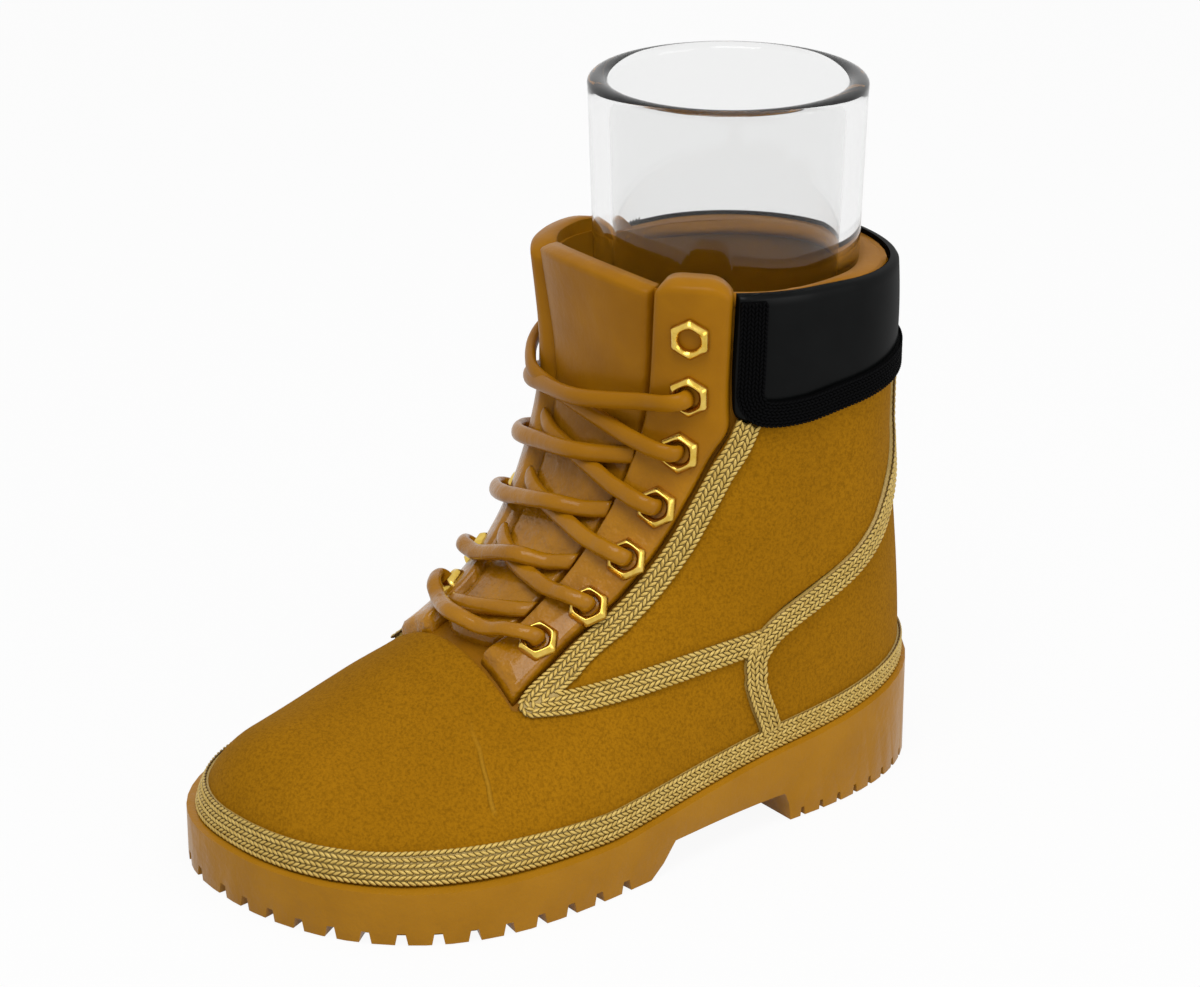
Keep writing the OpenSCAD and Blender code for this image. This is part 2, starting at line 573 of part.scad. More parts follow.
// The braid behind the eyestay runs down to the lower edge of the side braid, which butts on it, and
// its tip is rounded where the braid turns
fold_radius = 0.6 * braid_width;
fold_rows = 6;
function eyestay_band(side) =
    band([for (k = [0:12]) let (level = mix(seam_height - 3, braid_end, k / 12))
          [eyestay_turn(level, side), level]], braid_width, -braid_width / 2 - 0.3);
function foot_gap(p) = seam_level(p[0]) - braid_width / 2 - p[1];
function foot_of(place, q, a = 0, b = 0.4, n = 10) =
    n == 0 ? (a + b) / 2
    : let (m = (a + b) / 2) foot_gap(place(m, q)) > 0 ? foot_of(place, q, m, b, n - 1)
                                                     : foot_of(place, q, a, m, n - 1);
function on_skin(place, p, q) = let (s = place(p, q)) skin(s[0], s[1]);
function fold_angle(place, side) =
    let (foot = foot_of(place, 0.5), turn = eyestay_turn(seam_height, side))
    acos(unit(on_skin(place, foot + 0.1, 0.5) - on_skin(place, foot, 0.5))
         * unit(skin(turn + 0.1, seam_level(turn + 0.1)) - skin(turn, seam_level(turn))));
function fold_cut(q, angle) =
    let (t = braid_width * (1 - q), r = fold_radius)
    max(0, r / tan(angle / 2) - sqrt(max(0, r * r - pow(t - r, 2))) - t / tan(angle));
function eyestay_braid(side) =
    let (place = eyestay_band(side), angle = fold_angle(place, side),
         long = norm(on_skin(place, 0.3, 0.5) - on_skin(place, 0.2, 0.5)) / 0.1,
         foot = [for (q = [0:1 / fold_rows:1.001]) [q, foot_of(place, q) + fold_cut(q, angle) / long]])
    function (p, q) place(mix(lookup(q, foot), 1, p), q);
module eyestay_braid_left() {
    color(BRAID) patch(18, fold_rows, eyestay_braid(1), braid_low, braid_high);
}
module eyestay_braid_right() {
    color(BRAID) patch(18, fold_rows, mirrored(eyestay_braid(-1)), braid_low, braid_high);
}

function side_braid(side) =
    let (from = eyestay_turn(seam_height, side), to = counter_turn(seam_height + seam_rise),
         place = band([for (k = [0:0.1:1.001]) let (turn = mix(from, to, k)) [turn, seam_level(turn)]],
                      braid_width),
         front = edge_table(eyestay_band(side), 0), rear = edge_table(counter_band, 1),
         starts = [for (q = [0:0.5:1]) [q, meet(place, q, front, -braid_gap)]],
         stops = [for (q = [0:0.5:1]) [q, meet(place, q, rear, braid_gap)]])
    function (p, q) place(mix(lookup(q, starts), lookup(q, stops), p), q);
module quarter_braid_left() {
    color(BRAID) patch(12, 2, side_braid(1), braid_low, braid_high);
}
module quarter_braid_right() {
    color(BRAID) patch(12, 2, mirrored(side_braid(-1)), braid_low, braid_high);
}

// Eyelets, evenly spaced along the eyestays and counted from 1 at the foot
eyelet_inset = eyelet_size / 2 + 1.3;
function eyelet_turn(level, side) =
    let (low = ease(eyelet_start - 6, eyelet_start + 4, level), high = ease(60, collar_height, level),
         rear = mix(lookup(level, eyestay_table), collar_front_y,
                    ease(collar_seam - 4, collar_seam + 2, level)))
    side < 0 ? turn_of(rear + inner_rear(level, side) - eyelet_inset, level)
             : turn_at_x(tongue_half(level, 1) + eyelet_setback * (mix(0.4, 1, low) - 0.2 * high),
                         level, side);
eyelet_line = [for (level = [eyelet_start:1:collar_height]) [eyelet_turn(level, 1), level]];
eyelet_run = running([for (p = eyelet_line) skin(p[0], p[1])]);
eyelet_levels = [for (i = [0:len(eyelet_run) - 1]) [eyelet_run[i], eyelet_line[i][1]]];
function lace_level(n, side) =
    lookup((n - 1) * eyelet_pitch, eyelet_levels) - (side < 0 ? 1.5 * min(1, n - 1) : 0);
function eyelet_spot(n, side) = let (level = lace_level(n, side)) [side * eyelet_turn(level, side), level];

module eyelet(p) {
    n = outward(p);
    translate(over(p, eyestay_step + 0.2)) rotate([0, acos(n[2]), atan2(n[1], n[0])])
        difference() {
            intersection() {
                cylinder(d = eyelet_size, h = eyelet_thickness, $fn = 6);
                cylinder(r1 = eyelet_size / 2 + 0.6, r2 = eyelet_size / 2 - 0.6, h = eyelet_thickness,
                         $fn = 64);
            }
            translate([0, 0, -1]) cylinder(d = eyelet_hole, h = eyelet_thickness + 2, $fn = 48);
        }
}
module eyelets_left() {
    color(BRASS) for (n = [1:eyelet_count]) eyelet(eyelet_spot(n, 1));
}
module eyelets_right() {
    color(BRASS) for (n = [1:eyelet_count]) eyelet(eyelet_spot(n, -1));
}

// Lace: stations along a strand hold the middle, the direction across and the flattening
lace_r = lace_diameter / 2;
pressed = 0.8;
bent = 0.65;
bend_r = bent * lace_r + 0.15;
tucked = 0.5;
tongue_face = 0.2;
shear_limit = 1.6;
lace_low = tongue_face + pressed * lace_r;
lace_high = lace_low + 2 * pressed * lace_r + 0.15;
function heading(a, b) = skin(b[0], b[1]) - skin(a[0], a[1]);
function station(a, b, far, height, flat = 1) =
    let (way = heading(a, b), p = mix(a, b, far / norm(way)))
    concat(over(p, height), unit(cross(way, outward(p))), [flat]);
function edge_reach(a, b) =
    let (side = sign(a[0]), edge = tongue_turn(a[1], side))
    norm(heading(a, b)) * (abs(a[0]) - edge) / abs(a[0] - b[0]);
function from_eyelet(a, b) =
    let (rim = eyestay_step + eyelet_thickness + 0.25, reach = edge_reach(a, b),
         hug = eyestay_step + bent * lace_r + 0.25, past = eyelet_size / 2 + 0.2,
         down = max(reach * 0.75, eyelet_size / 2 + 2))
    [for (s = [[0, eyestay_step + 0.35], [0, rim], [bend_r * 0.3, rim + bend_r * 0.7],
               [bend_r, rim + bend_r], [past, rim + bend_r - 0.1],
               [mix(past, down, 0.5), mix(rim + bend_r, hug, 0.6)], [down, hug + 0.2],
               [max(reach, eyelet_size / 2 + 3), hug]]) station(a, b, s[0], s[1], bent)];

// An end tucked in at the edge of the tongue, cut along that edge
function edge_spot(n, side) =
    let (level = lace_level(n, side), p = [side * tongue_turn(level, side), level])
    [p[0] - side * 0.1 / norm(along(p)), level];
function edge_way(n, side) =
    let (a = edge_spot(n - 0.05, side), b = edge_spot(n + 0.05, side)) heading(a, b);
function from_edge(a, b, way, room) =
    let (tip = station(a, b, 0, 0), across = [tip[3], tip[4], tip[5]], on = unit(heading(a, b)),
         shear = min(shear_limit, max(-shear_limit, (way * on) / (way * across))))
    [concat(over(a, tongue_face + tucked * lace_r), across + shear * on, [tucked]),
     station(a, b, room * 0.4, tongue_face + 0.65 * lace_r, 0.65),
     station(a, b, room, tongue_face + pressed * lace_r, pressed)];
function turned(list) =
    [for (i = [len(list) - 1:-1:0]) let (c = list[i]) [c[0], c[1], c[2], -c[3], -c[4], -c[5], c[6]]];
function crossing(a, b, height) =
    station(a, b, norm(heading(a, b)) * a[0] / (a[0] - b[0]), height, pressed);

module strand(stations) {
    rings = 18;
    function xyz(c) = [c[0], c[1], c[2]];
    function ring(k) =
        let (c = spline(stations, k), across = [c[3], c[4], c[5]],
             way = xyz(spline(stations, min(1, k + 0.004))) - xyz(spline(stations, max(0, k - 0.004))),
             up = unit(cross(across, way)))
        [for (a = [0:45:315]) xyz(c) + lace_r * (cos(a) * across + c[6] * sin(a) * up)];
    pts = [for (j = [0:rings]) each ring(j / rings)];
    function id(i, j) = 8 * j + i % 8;
    walls = [for (j = [0:rings - 1], i = [0:7])
             each [[id(i, j), id(i + 1, j + 1), id(i, j + 1)], [id(i, j), id(i + 1, j), id(i + 1, j + 1)]]];
    ends = [for (i = [1:6]) each [[0, id(i + 1, 0), id(i, 0)],
                                  [id(0, rings), id(i, rings), id(i + 1, rings)]]];
    polyhedron(pts, concat(walls, ends), convexity = 6);
}
module eyelet_to_edge(n, side, to, height) {
    a = eyelet_spot(n, side);
    b = edge_spot(to, -side);
    room = norm(heading(a, b)) * b[0] / (b[0] - a[0]) * 0.5;
    strand(concat(from_eyelet(a, b), [crossing(a, b, height)],
                  turned(from_edge(b, a, edge_way(to, -side), room))));
}
module eyelet_to_eyelet(n, side, to, height) {
    a = eyelet_spot(n, side);
    b = eyelet_spot(to, -side);
    strand(concat(from_eyelet(a, b), [crossing(a, b, height)], turned(from_eyelet(b, a))));
}
module edge_to_edge(n, side, to) {
    a = edge_spot(n, side);
    b = edge_spot(to, -side);
    room = norm(heading(a, b)) * 0.3;
    strand(concat(from_edge(a, b, edge_way(n, side), room), [crossing(a, b, lace_low)],
                  turned(from_edge(b, a, edge_way(to, -side), room))));
}
module lace() {
    last = eyelet_count - 2;
    color(RESIN) {
        eyelet_to_eyelet(1, 1, 1, lace_high);
        edge_to_edge(1.3, -1, 1.8);
        for (n = [2:last - 1]) {
            eyelet_to_edge(n, -1, n + 0.8, lace_high);
            eyelet_to_edge(n, 1, n + 0.9, lace_low);
        }
        eyelet_to_eyelet(last, -1, last + 1, lace_high);
        eyelet_to_eyelet(last, 1, last + 1, lace_low);
    }
}

module glass() {
    taper = tan(glass_taper);
    rim = rim_diameter / 2;
    foot = rim - glass_height * taper;
    round = glass_wall / 2;
    function arc(cx, cz, r, a0, a1) = [for (k = [0:0.125:1])
        let (a = mix(a0, a1, k)) [cx + r * cos(a), cz + r * sin(a)]];
    color(CLEAR) translate([0, glass_y, glass_foot]) rotate_extrude($fn = 96)
        polygon(concat([[0, 0]], arc(foot - 1.5, 1.5, 1.5, -90, 0),
                       arc(rim - round, glass_height - round, round, 0, 180),
                       arc(foot - glass_wall - 4, glass_base + 4, 4, 0, -90), [[0, glass_base]]));
}

outsole();
boot_core();
tongue();
eyestay_left();
eyestay_right();
vamp_panel();
quarter_panel_left();
quarter_panel_right();
heel_counter();
collar_band();
collar_binding();
welt_braid();
eyestay_braid_left();
eyestay_braid_right();
quarter_braid_left();
quarter_braid_right();
counter_braid_left();
counter_braid_right();
eyelets_left();
eyelets_right();
lace();
glass();
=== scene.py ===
# %% [markdown]
# # A boot that holds a shot glass
# The boot is cast resin, dressed with suede panels, gold braid and a black collar. A clear glass
# stands loose in it. The CAD part is loaded first and stays as the fixed frame: every piece made
# below lies where its CAD node lies, so nothing has to be fitted by eye.

import json
import math

import bmesh
import bpy
import numpy as np
from mathutils import Matrix, Vector

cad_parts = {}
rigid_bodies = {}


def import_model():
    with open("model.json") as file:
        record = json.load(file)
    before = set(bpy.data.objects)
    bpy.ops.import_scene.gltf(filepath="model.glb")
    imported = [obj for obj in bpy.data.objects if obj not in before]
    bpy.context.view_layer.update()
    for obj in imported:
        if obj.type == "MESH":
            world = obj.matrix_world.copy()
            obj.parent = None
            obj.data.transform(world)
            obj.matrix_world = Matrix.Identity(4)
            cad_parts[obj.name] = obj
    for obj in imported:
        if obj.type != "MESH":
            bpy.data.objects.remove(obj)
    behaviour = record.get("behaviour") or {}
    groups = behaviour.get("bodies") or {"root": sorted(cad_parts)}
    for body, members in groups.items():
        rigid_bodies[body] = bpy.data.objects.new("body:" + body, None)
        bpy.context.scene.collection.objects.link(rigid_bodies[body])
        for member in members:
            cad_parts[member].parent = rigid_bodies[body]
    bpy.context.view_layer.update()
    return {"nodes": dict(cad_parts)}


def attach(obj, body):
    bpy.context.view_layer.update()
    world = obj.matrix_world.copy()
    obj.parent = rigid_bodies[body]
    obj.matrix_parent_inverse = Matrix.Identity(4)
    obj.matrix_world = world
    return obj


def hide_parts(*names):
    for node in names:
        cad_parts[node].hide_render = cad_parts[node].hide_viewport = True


for spare in list(bpy.data.objects):
    bpy.data.objects.remove(spare)
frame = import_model()
MM = 0.001
print("CAD nodes:", len(frame["nodes"]))

# %% [markdown]
# The camera comes first. It was found from the ellipse of the glass rim and the level edges of the
# sole: a long lens, a little above the boot, on its outer side and in front of the toe.

# %% Camera
camera = bpy.data.objects.new("camera", bpy.data.cameras.new("camera"))
bpy.context.scene.collection.objects.link(camera)
camera.data.sensor_width = 36.0
camera.data.lens = 108.0
camera.data.clip_start = 0.01
camera.location = (0.40304, -0.29655, 0.250895)
camera.rotation_euler = (math.radians(68.135), 0.0, math.radians(53.0))
bpy.context.scene.camera = camera
print("lens", camera.data.lens)

# %% [markdown]
# The upper of a boot is one smooth skin that the panels, eyestays, braids and laces lie on. It is
# described once, from side-view curves and rounded cross sections, in the same millimetres as the
# CAD part. A place on it is a pair: turn (0 is the front ridge, 1 the outer side, 2 the back and 3
# the inner side) and level, the height. Arrays of places are worked out together.

# %% Side view of the boot
TOE_Y, HEEL_Y, GLASS_Y = -59.5, 59.5, 31.0
BALL_Y, HEEL_MID_Y, BEND_Y, SIDE_Y = -24.5, 22.5, -12.5, 28.0
WELT, LEVEL_FADE, SECTION_FOOT, SOLE_SLOPE = 8.1, 45.0, 5.1, 0.115
BALL_HALF, HEEL_HALF, SHAFT_HALF, WELT_INSET, TOE_LEAN = 32.2, 28.0, 25.0, 2.0, 6.0
TOE_HEIGHT, CROWN_Y, THROAT_Y, THROAT_Z = 22.4, -44.5, -22.0, 30.6
SHAFT_Y, BACK_Y, INSTEP_TOP, COLLAR = 6.5, 55.0, 66.0, 84.0
COLLAR_DROP, COLLAR_LEAN, TONGUE_LEAN, HEEL_SWELL = 2.0, 2.0, 3.0, 4.0
TOE_FULLNESS, SHAFT_FULLNESS, INNER_FULLNESS = 1.8, 2.15, 0.4
SEAM, SEAM_RISE, COLLAR_SEAM, COLLAR_RISE = 25.8, 2.7, 64.0, 2.4
STRAIGHT_Z, SHAFT_MID_Y, TOE_INSET = 56.0, GLASS_Y + 3, 1.5
TOES_FROM, TOES_TO = TOE_Y + 30, TOE_Y + 60
HEEL_ROUND, SHAFT_ROUND, TOE_ROUND = 2.5, 2.1, 2.2


def between(a, b, k):
    return a + (b - a) * k


def ease(a, b, v):
    k = np.clip((v - a) / (b - a), 0, 1)
    return k * k * (3 - 2 * k)


def bow(v, n):
    return np.maximum(0, 1 - np.clip(v, 0, 1) ** n) ** (1 / n)


def unit(v):
    return v / np.linalg.norm(v, axis=-1, keepdims=True)


def bezier(p, k):
    p, k = np.array(p, float), k[:, None]
    return (1 - k) ** 3 * p[0] + 3 * k * (1 - k) ** 2 * p[1] + 3 * k * k * (1 - k) * p[2] + k**3 * p[3]


def spline(points, k):
    """A smooth line through a few points, at shares k of its length."""
    points = np.asarray(points, float)
    n = len(points) - 1
    s = np.clip(np.asarray(k, float) * n, 0, n - 1e-4)
    i = np.floor(s).astype(int)
    f = (s - i)[..., None]
    a, b = points[np.maximum(i - 1, 0)], points[i]
    c, d = points[i + 1], points[np.minimum(i + 2, n)]
    return b + f * (c - a) / 2 + f**2 * (a - 2.5 * b + 2 * c - d / 2) + f**3 * (1.5 * (b - c) + (d - a) / 2)


RIDGE = [
    [(TOE_Y + 1.6, SECTION_FOOT), (TOE_Y + 2, TOE_HEIGHT - 8), (CROWN_Y - 9, TOE_HEIGHT - 1.2),
     (CROWN_Y, TOE_HEIGHT)],
    [(CROWN_Y, TOE_HEIGHT), (CROWN_Y + 9, TOE_HEIGHT + 1.2), (THROAT_Y - 9, THROAT_Z - 3.6),
     (THROAT_Y, THROAT_Z)],
    [(THROAT_Y, THROAT_Z), (THROAT_Y + 10, THROAT_Z + 4), (SHAFT_Y, INSTEP_TOP - 20),
     (SHAFT_Y, INSTEP_TOP)],
    [(SHAFT_Y, INSTEP_TOP), (SHAFT_Y, INSTEP_TOP + 6), (SHAFT_Y - TONGUE_LEAN / 2, COLLAR - 6),
     (SHAFT_Y - TONGUE_LEAN, COLLAR + 6)],
]
SHARES = np.arange(0, 1, 0.01)
ridge = np.concatenate([bezier(c, SHARES) for c in RIDGE])
instep = ridge[: 3 * len(SHARES)]
heel_line = bezier([(HEEL_Y - WELT_INSET + 0.2, SECTION_FOOT),
                    (BACK_Y + HEEL_SWELL * 1.5, STRAIGHT_Z / 2),
                    (BACK_Y + HEEL_SWELL / 4, STRAIGHT_Z * 0.75), (BACK_Y, STRAIGHT_Z)], SHARES)
heel_line = np.vstack([heel_line, [(BACK_Y, STRAIGHT_Z), (BACK_Y + 0.5, COLLAR + 6)]])
print("ridge points", len(ridge))


# %% The skin
def ridge_y(z):
    return np.interp(z, ridge[:, 1], ridge[:, 0])


def heel_y(z):
    return np.interp(z, heel_line[:, 1], heel_line[:, 0])


def tilt(level, y):
    fade = np.maximum(0, LEVEL_FADE - level) / (LEVEL_FADE - WELT)
    return SOLE_SLOPE * np.maximum(0, y - np.maximum(BEND_Y, ridge_y(level))) * fade


def level_of(y, z):
    level = z
    for _ in range(8):
        level = z - tilt(level, y)
    return level


def half_width(y, z):
    foot = between(BALL_HALF, HEEL_HALF, ease(BALL_Y, HEEL_MID_Y, y)) - WELT_INSET
    rise = ease(WELT, LEVEL_FADE, z)
    mid = between(HEEL_MID_Y, SHAFT_MID_Y, rise)
    back = bow((y - mid) / (heel_y(z) - mid), between(HEEL_ROUND, SHAFT_ROUND, rise))
    return between(foot, SHAFT_HALF, rise) * back


def skin_x(y, z, side):
    mid = -TOE_LEAN * (1 - ease(TOE_Y, TOES_TO, y))
    shaft = SHAFT_FULLNESS + np.where(side < 0, INNER_FULLNESS, 0)
    full = between(TOE_FULLNESS, shaft, ease(THROAT_Z - 4, STRAIGHT_Z, z))
    k = 1 - ease(TOES_FROM, TOES_TO, y)
    over_toes = (z - SECTION_FOOT) / (np.interp(y, instep[:, 0], instep[:, 1]) - SECTION_FOOT)
    over_shaft = ease(WELT, SEAM, z) * (SIDE_Y - y) / (SIDE_Y - ridge_y(z))
    share = bow((BALL_Y - y) / (BALL_Y - TOE_Y - TOE_INSET), TOE_ROUND)
    share = share * bow(k * over_toes + (1 - k) * over_shaft, full)
    return mid + side * (half_width(y, z) - side * mid) * share


def half_turn(turn):
    w = np.mod(turn, 4)
    return np.where(w <= 2, w, 4 - w)


def turn_y(u, level):
    front, rear = ridge_y(level), heel_y(level + tilt(level, HEEL_Y))
    return np.where(u < 1, front + (SIDE_Y - front) * (1 - np.cos(np.pi / 2 * u)),
                    SIDE_Y + (rear - SIDE_Y) * np.sin(np.pi / 2 * (u - 1)))


def turn_of(y, level):
    front, rear = ridge_y(level), heel_y(level + tilt(level, HEEL_Y))
    ahead = np.arccos(np.clip(1 - np.maximum(0, y - front) / (SIDE_Y - front), -1, 1))
    behind = np.arcsin(np.clip((y - SIDE_Y) / (rear - SIDE_Y), -1, 1))
    return np.where(y < SIDE_Y, ahead, np.pi / 2 + behind) * 2 / np.pi


def places(turn, level):
    return np.stack(np.broadcast_arrays(turn, level), -1).astype(float)


def skin(p):
    turn, level = p[..., 0], p[..., 1]
    y = turn_y(half_turn(turn), level)
    z = level + tilt(level, y)
    return np.stack([skin_x(y, z, np.where(np.mod(turn, 4) <= 2, 1, -1)), y, z], -1)


TURN_STEP, LEVEL_STEP = 0.01, 0.2


def along(p):
    return (skin(p + [TURN_STEP, 0]) - skin(p - [TURN_STEP, 0])) / (2 * TURN_STEP)


def upward(p):
    return (skin(p + [0, LEVEL_STEP]) - skin(p - [0, LEVEL_STEP])) / (2 * LEVEL_STEP)


def outward(p):
    return unit(np.cross(along(p), upward(p)))


def over(p, height):
    return skin(p) + np.asarray(height, float)[..., None] * outward(p)


def dot(a, b):
    return np.sum(a * b, -1)


def slide(p, d):
    """The place that lies d millimetres away along the skin."""
    a, b = along(p), upward(p)
    aa, ab, bb = dot(a, a), dot(a, b), dot(b, b)
    det = aa * bb - ab * ab
    return p + places((dot(d, a) * bb - dot(d, b) * ab) / det, (dot(d, b) * aa - dot(d, a) * ab) / det)


def spot(y, z):
    level = level_of(y, z)
    return places(turn_of(y, level), level)


def turn_at_x(x, level, side):
    low, high = np.zeros_like(level), np.ones_like(level)
    for _ in range(16):
        mid = (low + high) / 2
        short = side * skin(places(side * mid, level))[..., 0] < x
        low, high = np.where(short, mid, low), np.where(short, high, mid)
    return (low + high) / 2


print("outer side at mid height:", skin(places(1.0, 45.0)).round(2))

# %% [markdown]
# The seams between the panels are lines on the skin. The eyestay seam climbs from the toe panel to
# the collar, and the counter seam swings round the heel in an S. On the inner side the lacing sits
# a little further back and the eyestay is wider, so that its eyelets lie round the side.

# %% Seams
EYESTAY_SEAM = [(-53.5, -6.6), (-50.3, -4.4), (-47.9, -3.1), (-43.4, -0.2), (-38.2, 3), (-33.3, 6.3),
                (-28.4, 10.7), (-24.2, 15.9), (-20.8, 21.8), (-17.8, 28), (-15.4, 33.2), (-14.8, 39.4)]
COUNTER_SEAM = [(20, 12), (19.5, 16), (17.4, 22), (17.6, 27.5), (21.8, 31.6), (28.6, 34.6), (36, 37.8),
                (41.5, 41.6), (45.6, 46.6), (49, 51), (51, 57), (51.3, 70)]
LACING_SHIFT, INNER_REACH, TONGUE_FOOT, TONGUE_TOP, TONGUE_SHIFT = 7.0, 4.5, 5.2, 12.5, 2.5
LACING_TOP, COLLAR_FRONT_Y = 50.0, GLASS_Y - 15.5
COLLAR_CLIMB, SEAM_CLIMB = (0.8, 1.7), (0.45, 0.97)
SEAM_SHARES = np.linspace(0, 1, 101)


def seam_table(points):
    p = spline(points, SEAM_SHARES)
    return level_of(p[:, 0], p[:, 1]), p[:, 0]


eyestay_seam = seam_table(np.array(EYESTAY_SEAM) + [GLASS_Y, THROAT_Z])
counter_seam = seam_table(COUNTER_SEAM)


def inner(level, side):
    return LACING_SHIFT * ease(THROAT_Z - 2, LACING_TOP, level) if side < 0 else 0.0


def inner_rear(level, side):
    wider = INNER_REACH * ease(THROAT_Z - 2, THROAT_Z + 5, level) if side < 0 else 0.0
    return inner(level, side) + wider


def eyestay_turn(level, side):
    return turn_of(np.interp(level, *eyestay_seam) + inner_rear(level, side), level)


def counter_turn(level):
    return turn_of(np.interp(level, *counter_seam), level)


def collar_turn(level, side):
    return turn_of(COLLAR_FRONT_Y + inner_rear(level, side), level)


def collar_edge(turn):
    return COLLAR_SEAM + COLLAR_RISE * ease(*COLLAR_CLIMB, half_turn(turn))


def collar_top(x, y):
    drop = COLLAR_DROP * (y - SHAFT_Y) / (BACK_Y - SHAFT_Y)
    return COLLAR - drop - COLLAR_LEAN * np.maximum(0, -x) / SHAFT_HALF


def collar_at(side):
    return COLLAR - (COLLAR_LEAN if side < 0 else 0.0)


def tongue_half(level, side):
    half = between(TONGUE_FOOT, TONGUE_TOP, (level - THROAT_Z) / (COLLAR - THROAT_Z))
    return half + (TONGUE_SHIFT if side < 0 else 0.0)


def tongue_turn(level, side):
    return turn_at_x(tongue_half(level, side), level, side)


def seam_level(turn):
    return SEAM + SEAM_RISE * ease(*SEAM_CLIMB, half_turn(turn))


GORE_Y = THROAT_Y + 2.3
GORE_HEAD = float(np.interp(GORE_Y, instep[:, 0], instep[:, 1]))
gore_levels = np.linspace(GORE_HEAD, SEAM, 41)
gore_turns = turn_of(GORE_Y, gore_levels)


def throat_level(turn):
    u = half_turn(turn)
    return np.maximum(seam_level(u), np.interp(u, gore_turns, gore_levels))


BAND_STEP = 0.01


def band(line, width, aside=0.0):
    """Places of a band of braid along a line, or to one side of it."""
    def place(p, q):
        here = spline(line, p)
        ahead, behind = np.minimum(p + BAND_STEP, 1), np.maximum(p - BAND_STEP, 0)
        way = unit(skin(spline(line, ahead)) - skin(spline(line, behind)))
        return slide(here, np.cross(outward(here), way) * (width * (q - 0.5) + aside)[..., None])
    return place


print("head of the toe panel:", round(GORE_HEAD, 2))

# %% [markdown]
# A finish is a node material. This small class wraps a socket so that shader sums are written as
# sums, and the Finish class makes nodes from their type, their settings and what feeds them.


# %% Shader helpers
class Flow:
    """A socket that can be added, subtracted, multiplied and raised."""

    def __init__(self, finish, socket):
        self.finish, self.socket = finish, socket

    def _math(self, operation, a, b):
        return self.finish.node("Math", {"operation": operation}, {0: a, 1: b}).out(0)

    def __add__(self, other):
        return self._math("ADD", self, other)

    def __sub__(self, other):
        return self._math("SUBTRACT", self, other)

    def __rsub__(self, other):
        return self._math("SUBTRACT", other, self)

    def __mul__(self, other):
        return self._math("MULTIPLY", self, other)

    def __pow__(self, other):
        return self._math("POWER", self, other)

    __radd__, __rmul__ = __add__, __mul__


class Made:
    """A node that was made, with its outputs as flows."""

    def __init__(self, finish, node):
        self.finish, self.made = finish, node

    def out(self, key):
        return Flow(self.finish, self.made.outputs[key])


class Finish:
    """A node material, with its Principled shader ready."""

    def __init__(self, name, **fixed):
        self.material = bpy.data.materials.new(name)
        self.material.use_nodes = True
        self.tree = self.material.node_tree
        self.shader = self.tree.nodes["Principled BSDF"]
        for key, value in fixed.items():
            self.feed(self.shader.inputs[key.replace("_", " ")], value)

    def feed(self, socket, value):
        if isinstance(value, Flow):
            self.tree.links.new(value.socket, socket)
        elif isinstance(value, tuple) and len(value) == 3 and socket.type == "RGBA":
            socket.default_value = (*value, 1.0)
        else:
            socket.default_value = value

    def node(self, kind, settings=None, inputs=None):
        made = self.tree.nodes.new("ShaderNode" + kind)
        for key, value in (settings or {}).items():
            setattr(made, key, value)
        for key, value in (inputs or {}).items():
            self.feed(made.inputs[key], value)
        return Made(self, made)

    def millimetres(self):
        spot_here = self.node("TexCoord").out("Object")
        return self.node("VectorMath", {"operation": "SCALE"}, {0: spot_here, "Scale": 1 / MM}).out(0)

    def noise(self, per_mm, detail=2.0, rough=0.5):
        return self.node("TexNoise", None, {"Vector": self.millimetres(), "Scale": per_mm,
                                            "Detail": detail, "Roughness": rough}).out(0)

    def blend(self, k, a, b):
        return self.node("Mix", {"data_type": "RGBA"}, {0: k, 6: a, 7: b}).out(2)

    def ramp(self, k, low, high):
        return self.node("MapRange", {"clamp": True}, {0: k, 1: low, 2: high, 3: 0.0, 4: 1.0}).out(0)

    def colour(self, value):
        self.feed(self.shader.inputs["Base Color"], value)

    def rough(self, value):
        self.feed(self.shader.inputs["Roughness"], value)

    def relief(self, height, depth_mm):
        bump = self.node("Bump", None, {"Height": height, "Distance": depth_mm * MM})
        self.feed(self.shader.inputs["Normal"], bump.out(0))


# %% [markdown]
# Suede is short nap: it hardly shines, it is faintly mottled where the nap lies over, and seen close
# it is grainy. A soft noise shifts the colour a little and a fine one gives the grain its relief. On
# the outer side of the toe the skin was pinched once, which left a thin pale crease: a coordinate
# that is turned to lie along the crease tells how far a point is from it.

# %% Suede
SUEDE_LIGHT, SUEDE_DEEP, SUEDE_GRAIN = (0.362, 0.158, 0.004), (0.322, 0.139, 0.003), (0.135, 0.054, 0.001)
SUEDE_PINCH = (0.46, 0.24, 0.02)
CREASE_FOOT, CREASE_HEAD = Vector((24.6, -30.4, 15.1)), Vector((12.3, -25.9, 25.0))


def crease(finish):
    """1 on the crease, falling to 0 within a millimetre of it and at its two ends."""
    line = CREASE_HEAD - CREASE_FOOT
    turned_way = line.to_track_quat("Z", "Y").to_euler()
    here = finish.node("Mapping", {"vector_type": "TEXTURE"}, {"Vector": finish.millimetres(),
                       "Location": CREASE_FOOT, "Rotation": turned_way}).out(0)
    wavy = finish.node("SeparateXYZ", None, {0: here})
    aside = (wavy.out(0) + 0.9 * finish.noise(0.25, 1.0) - 0.45) ** 2.0
    ends = finish.ramp(wavy.out(2), 0.0, 1.5) - finish.ramp(wavy.out(2), 0.5 * line.length, line.length)
    return (1.0 - finish.ramp(aside, 0.0, 0.2)) * ends


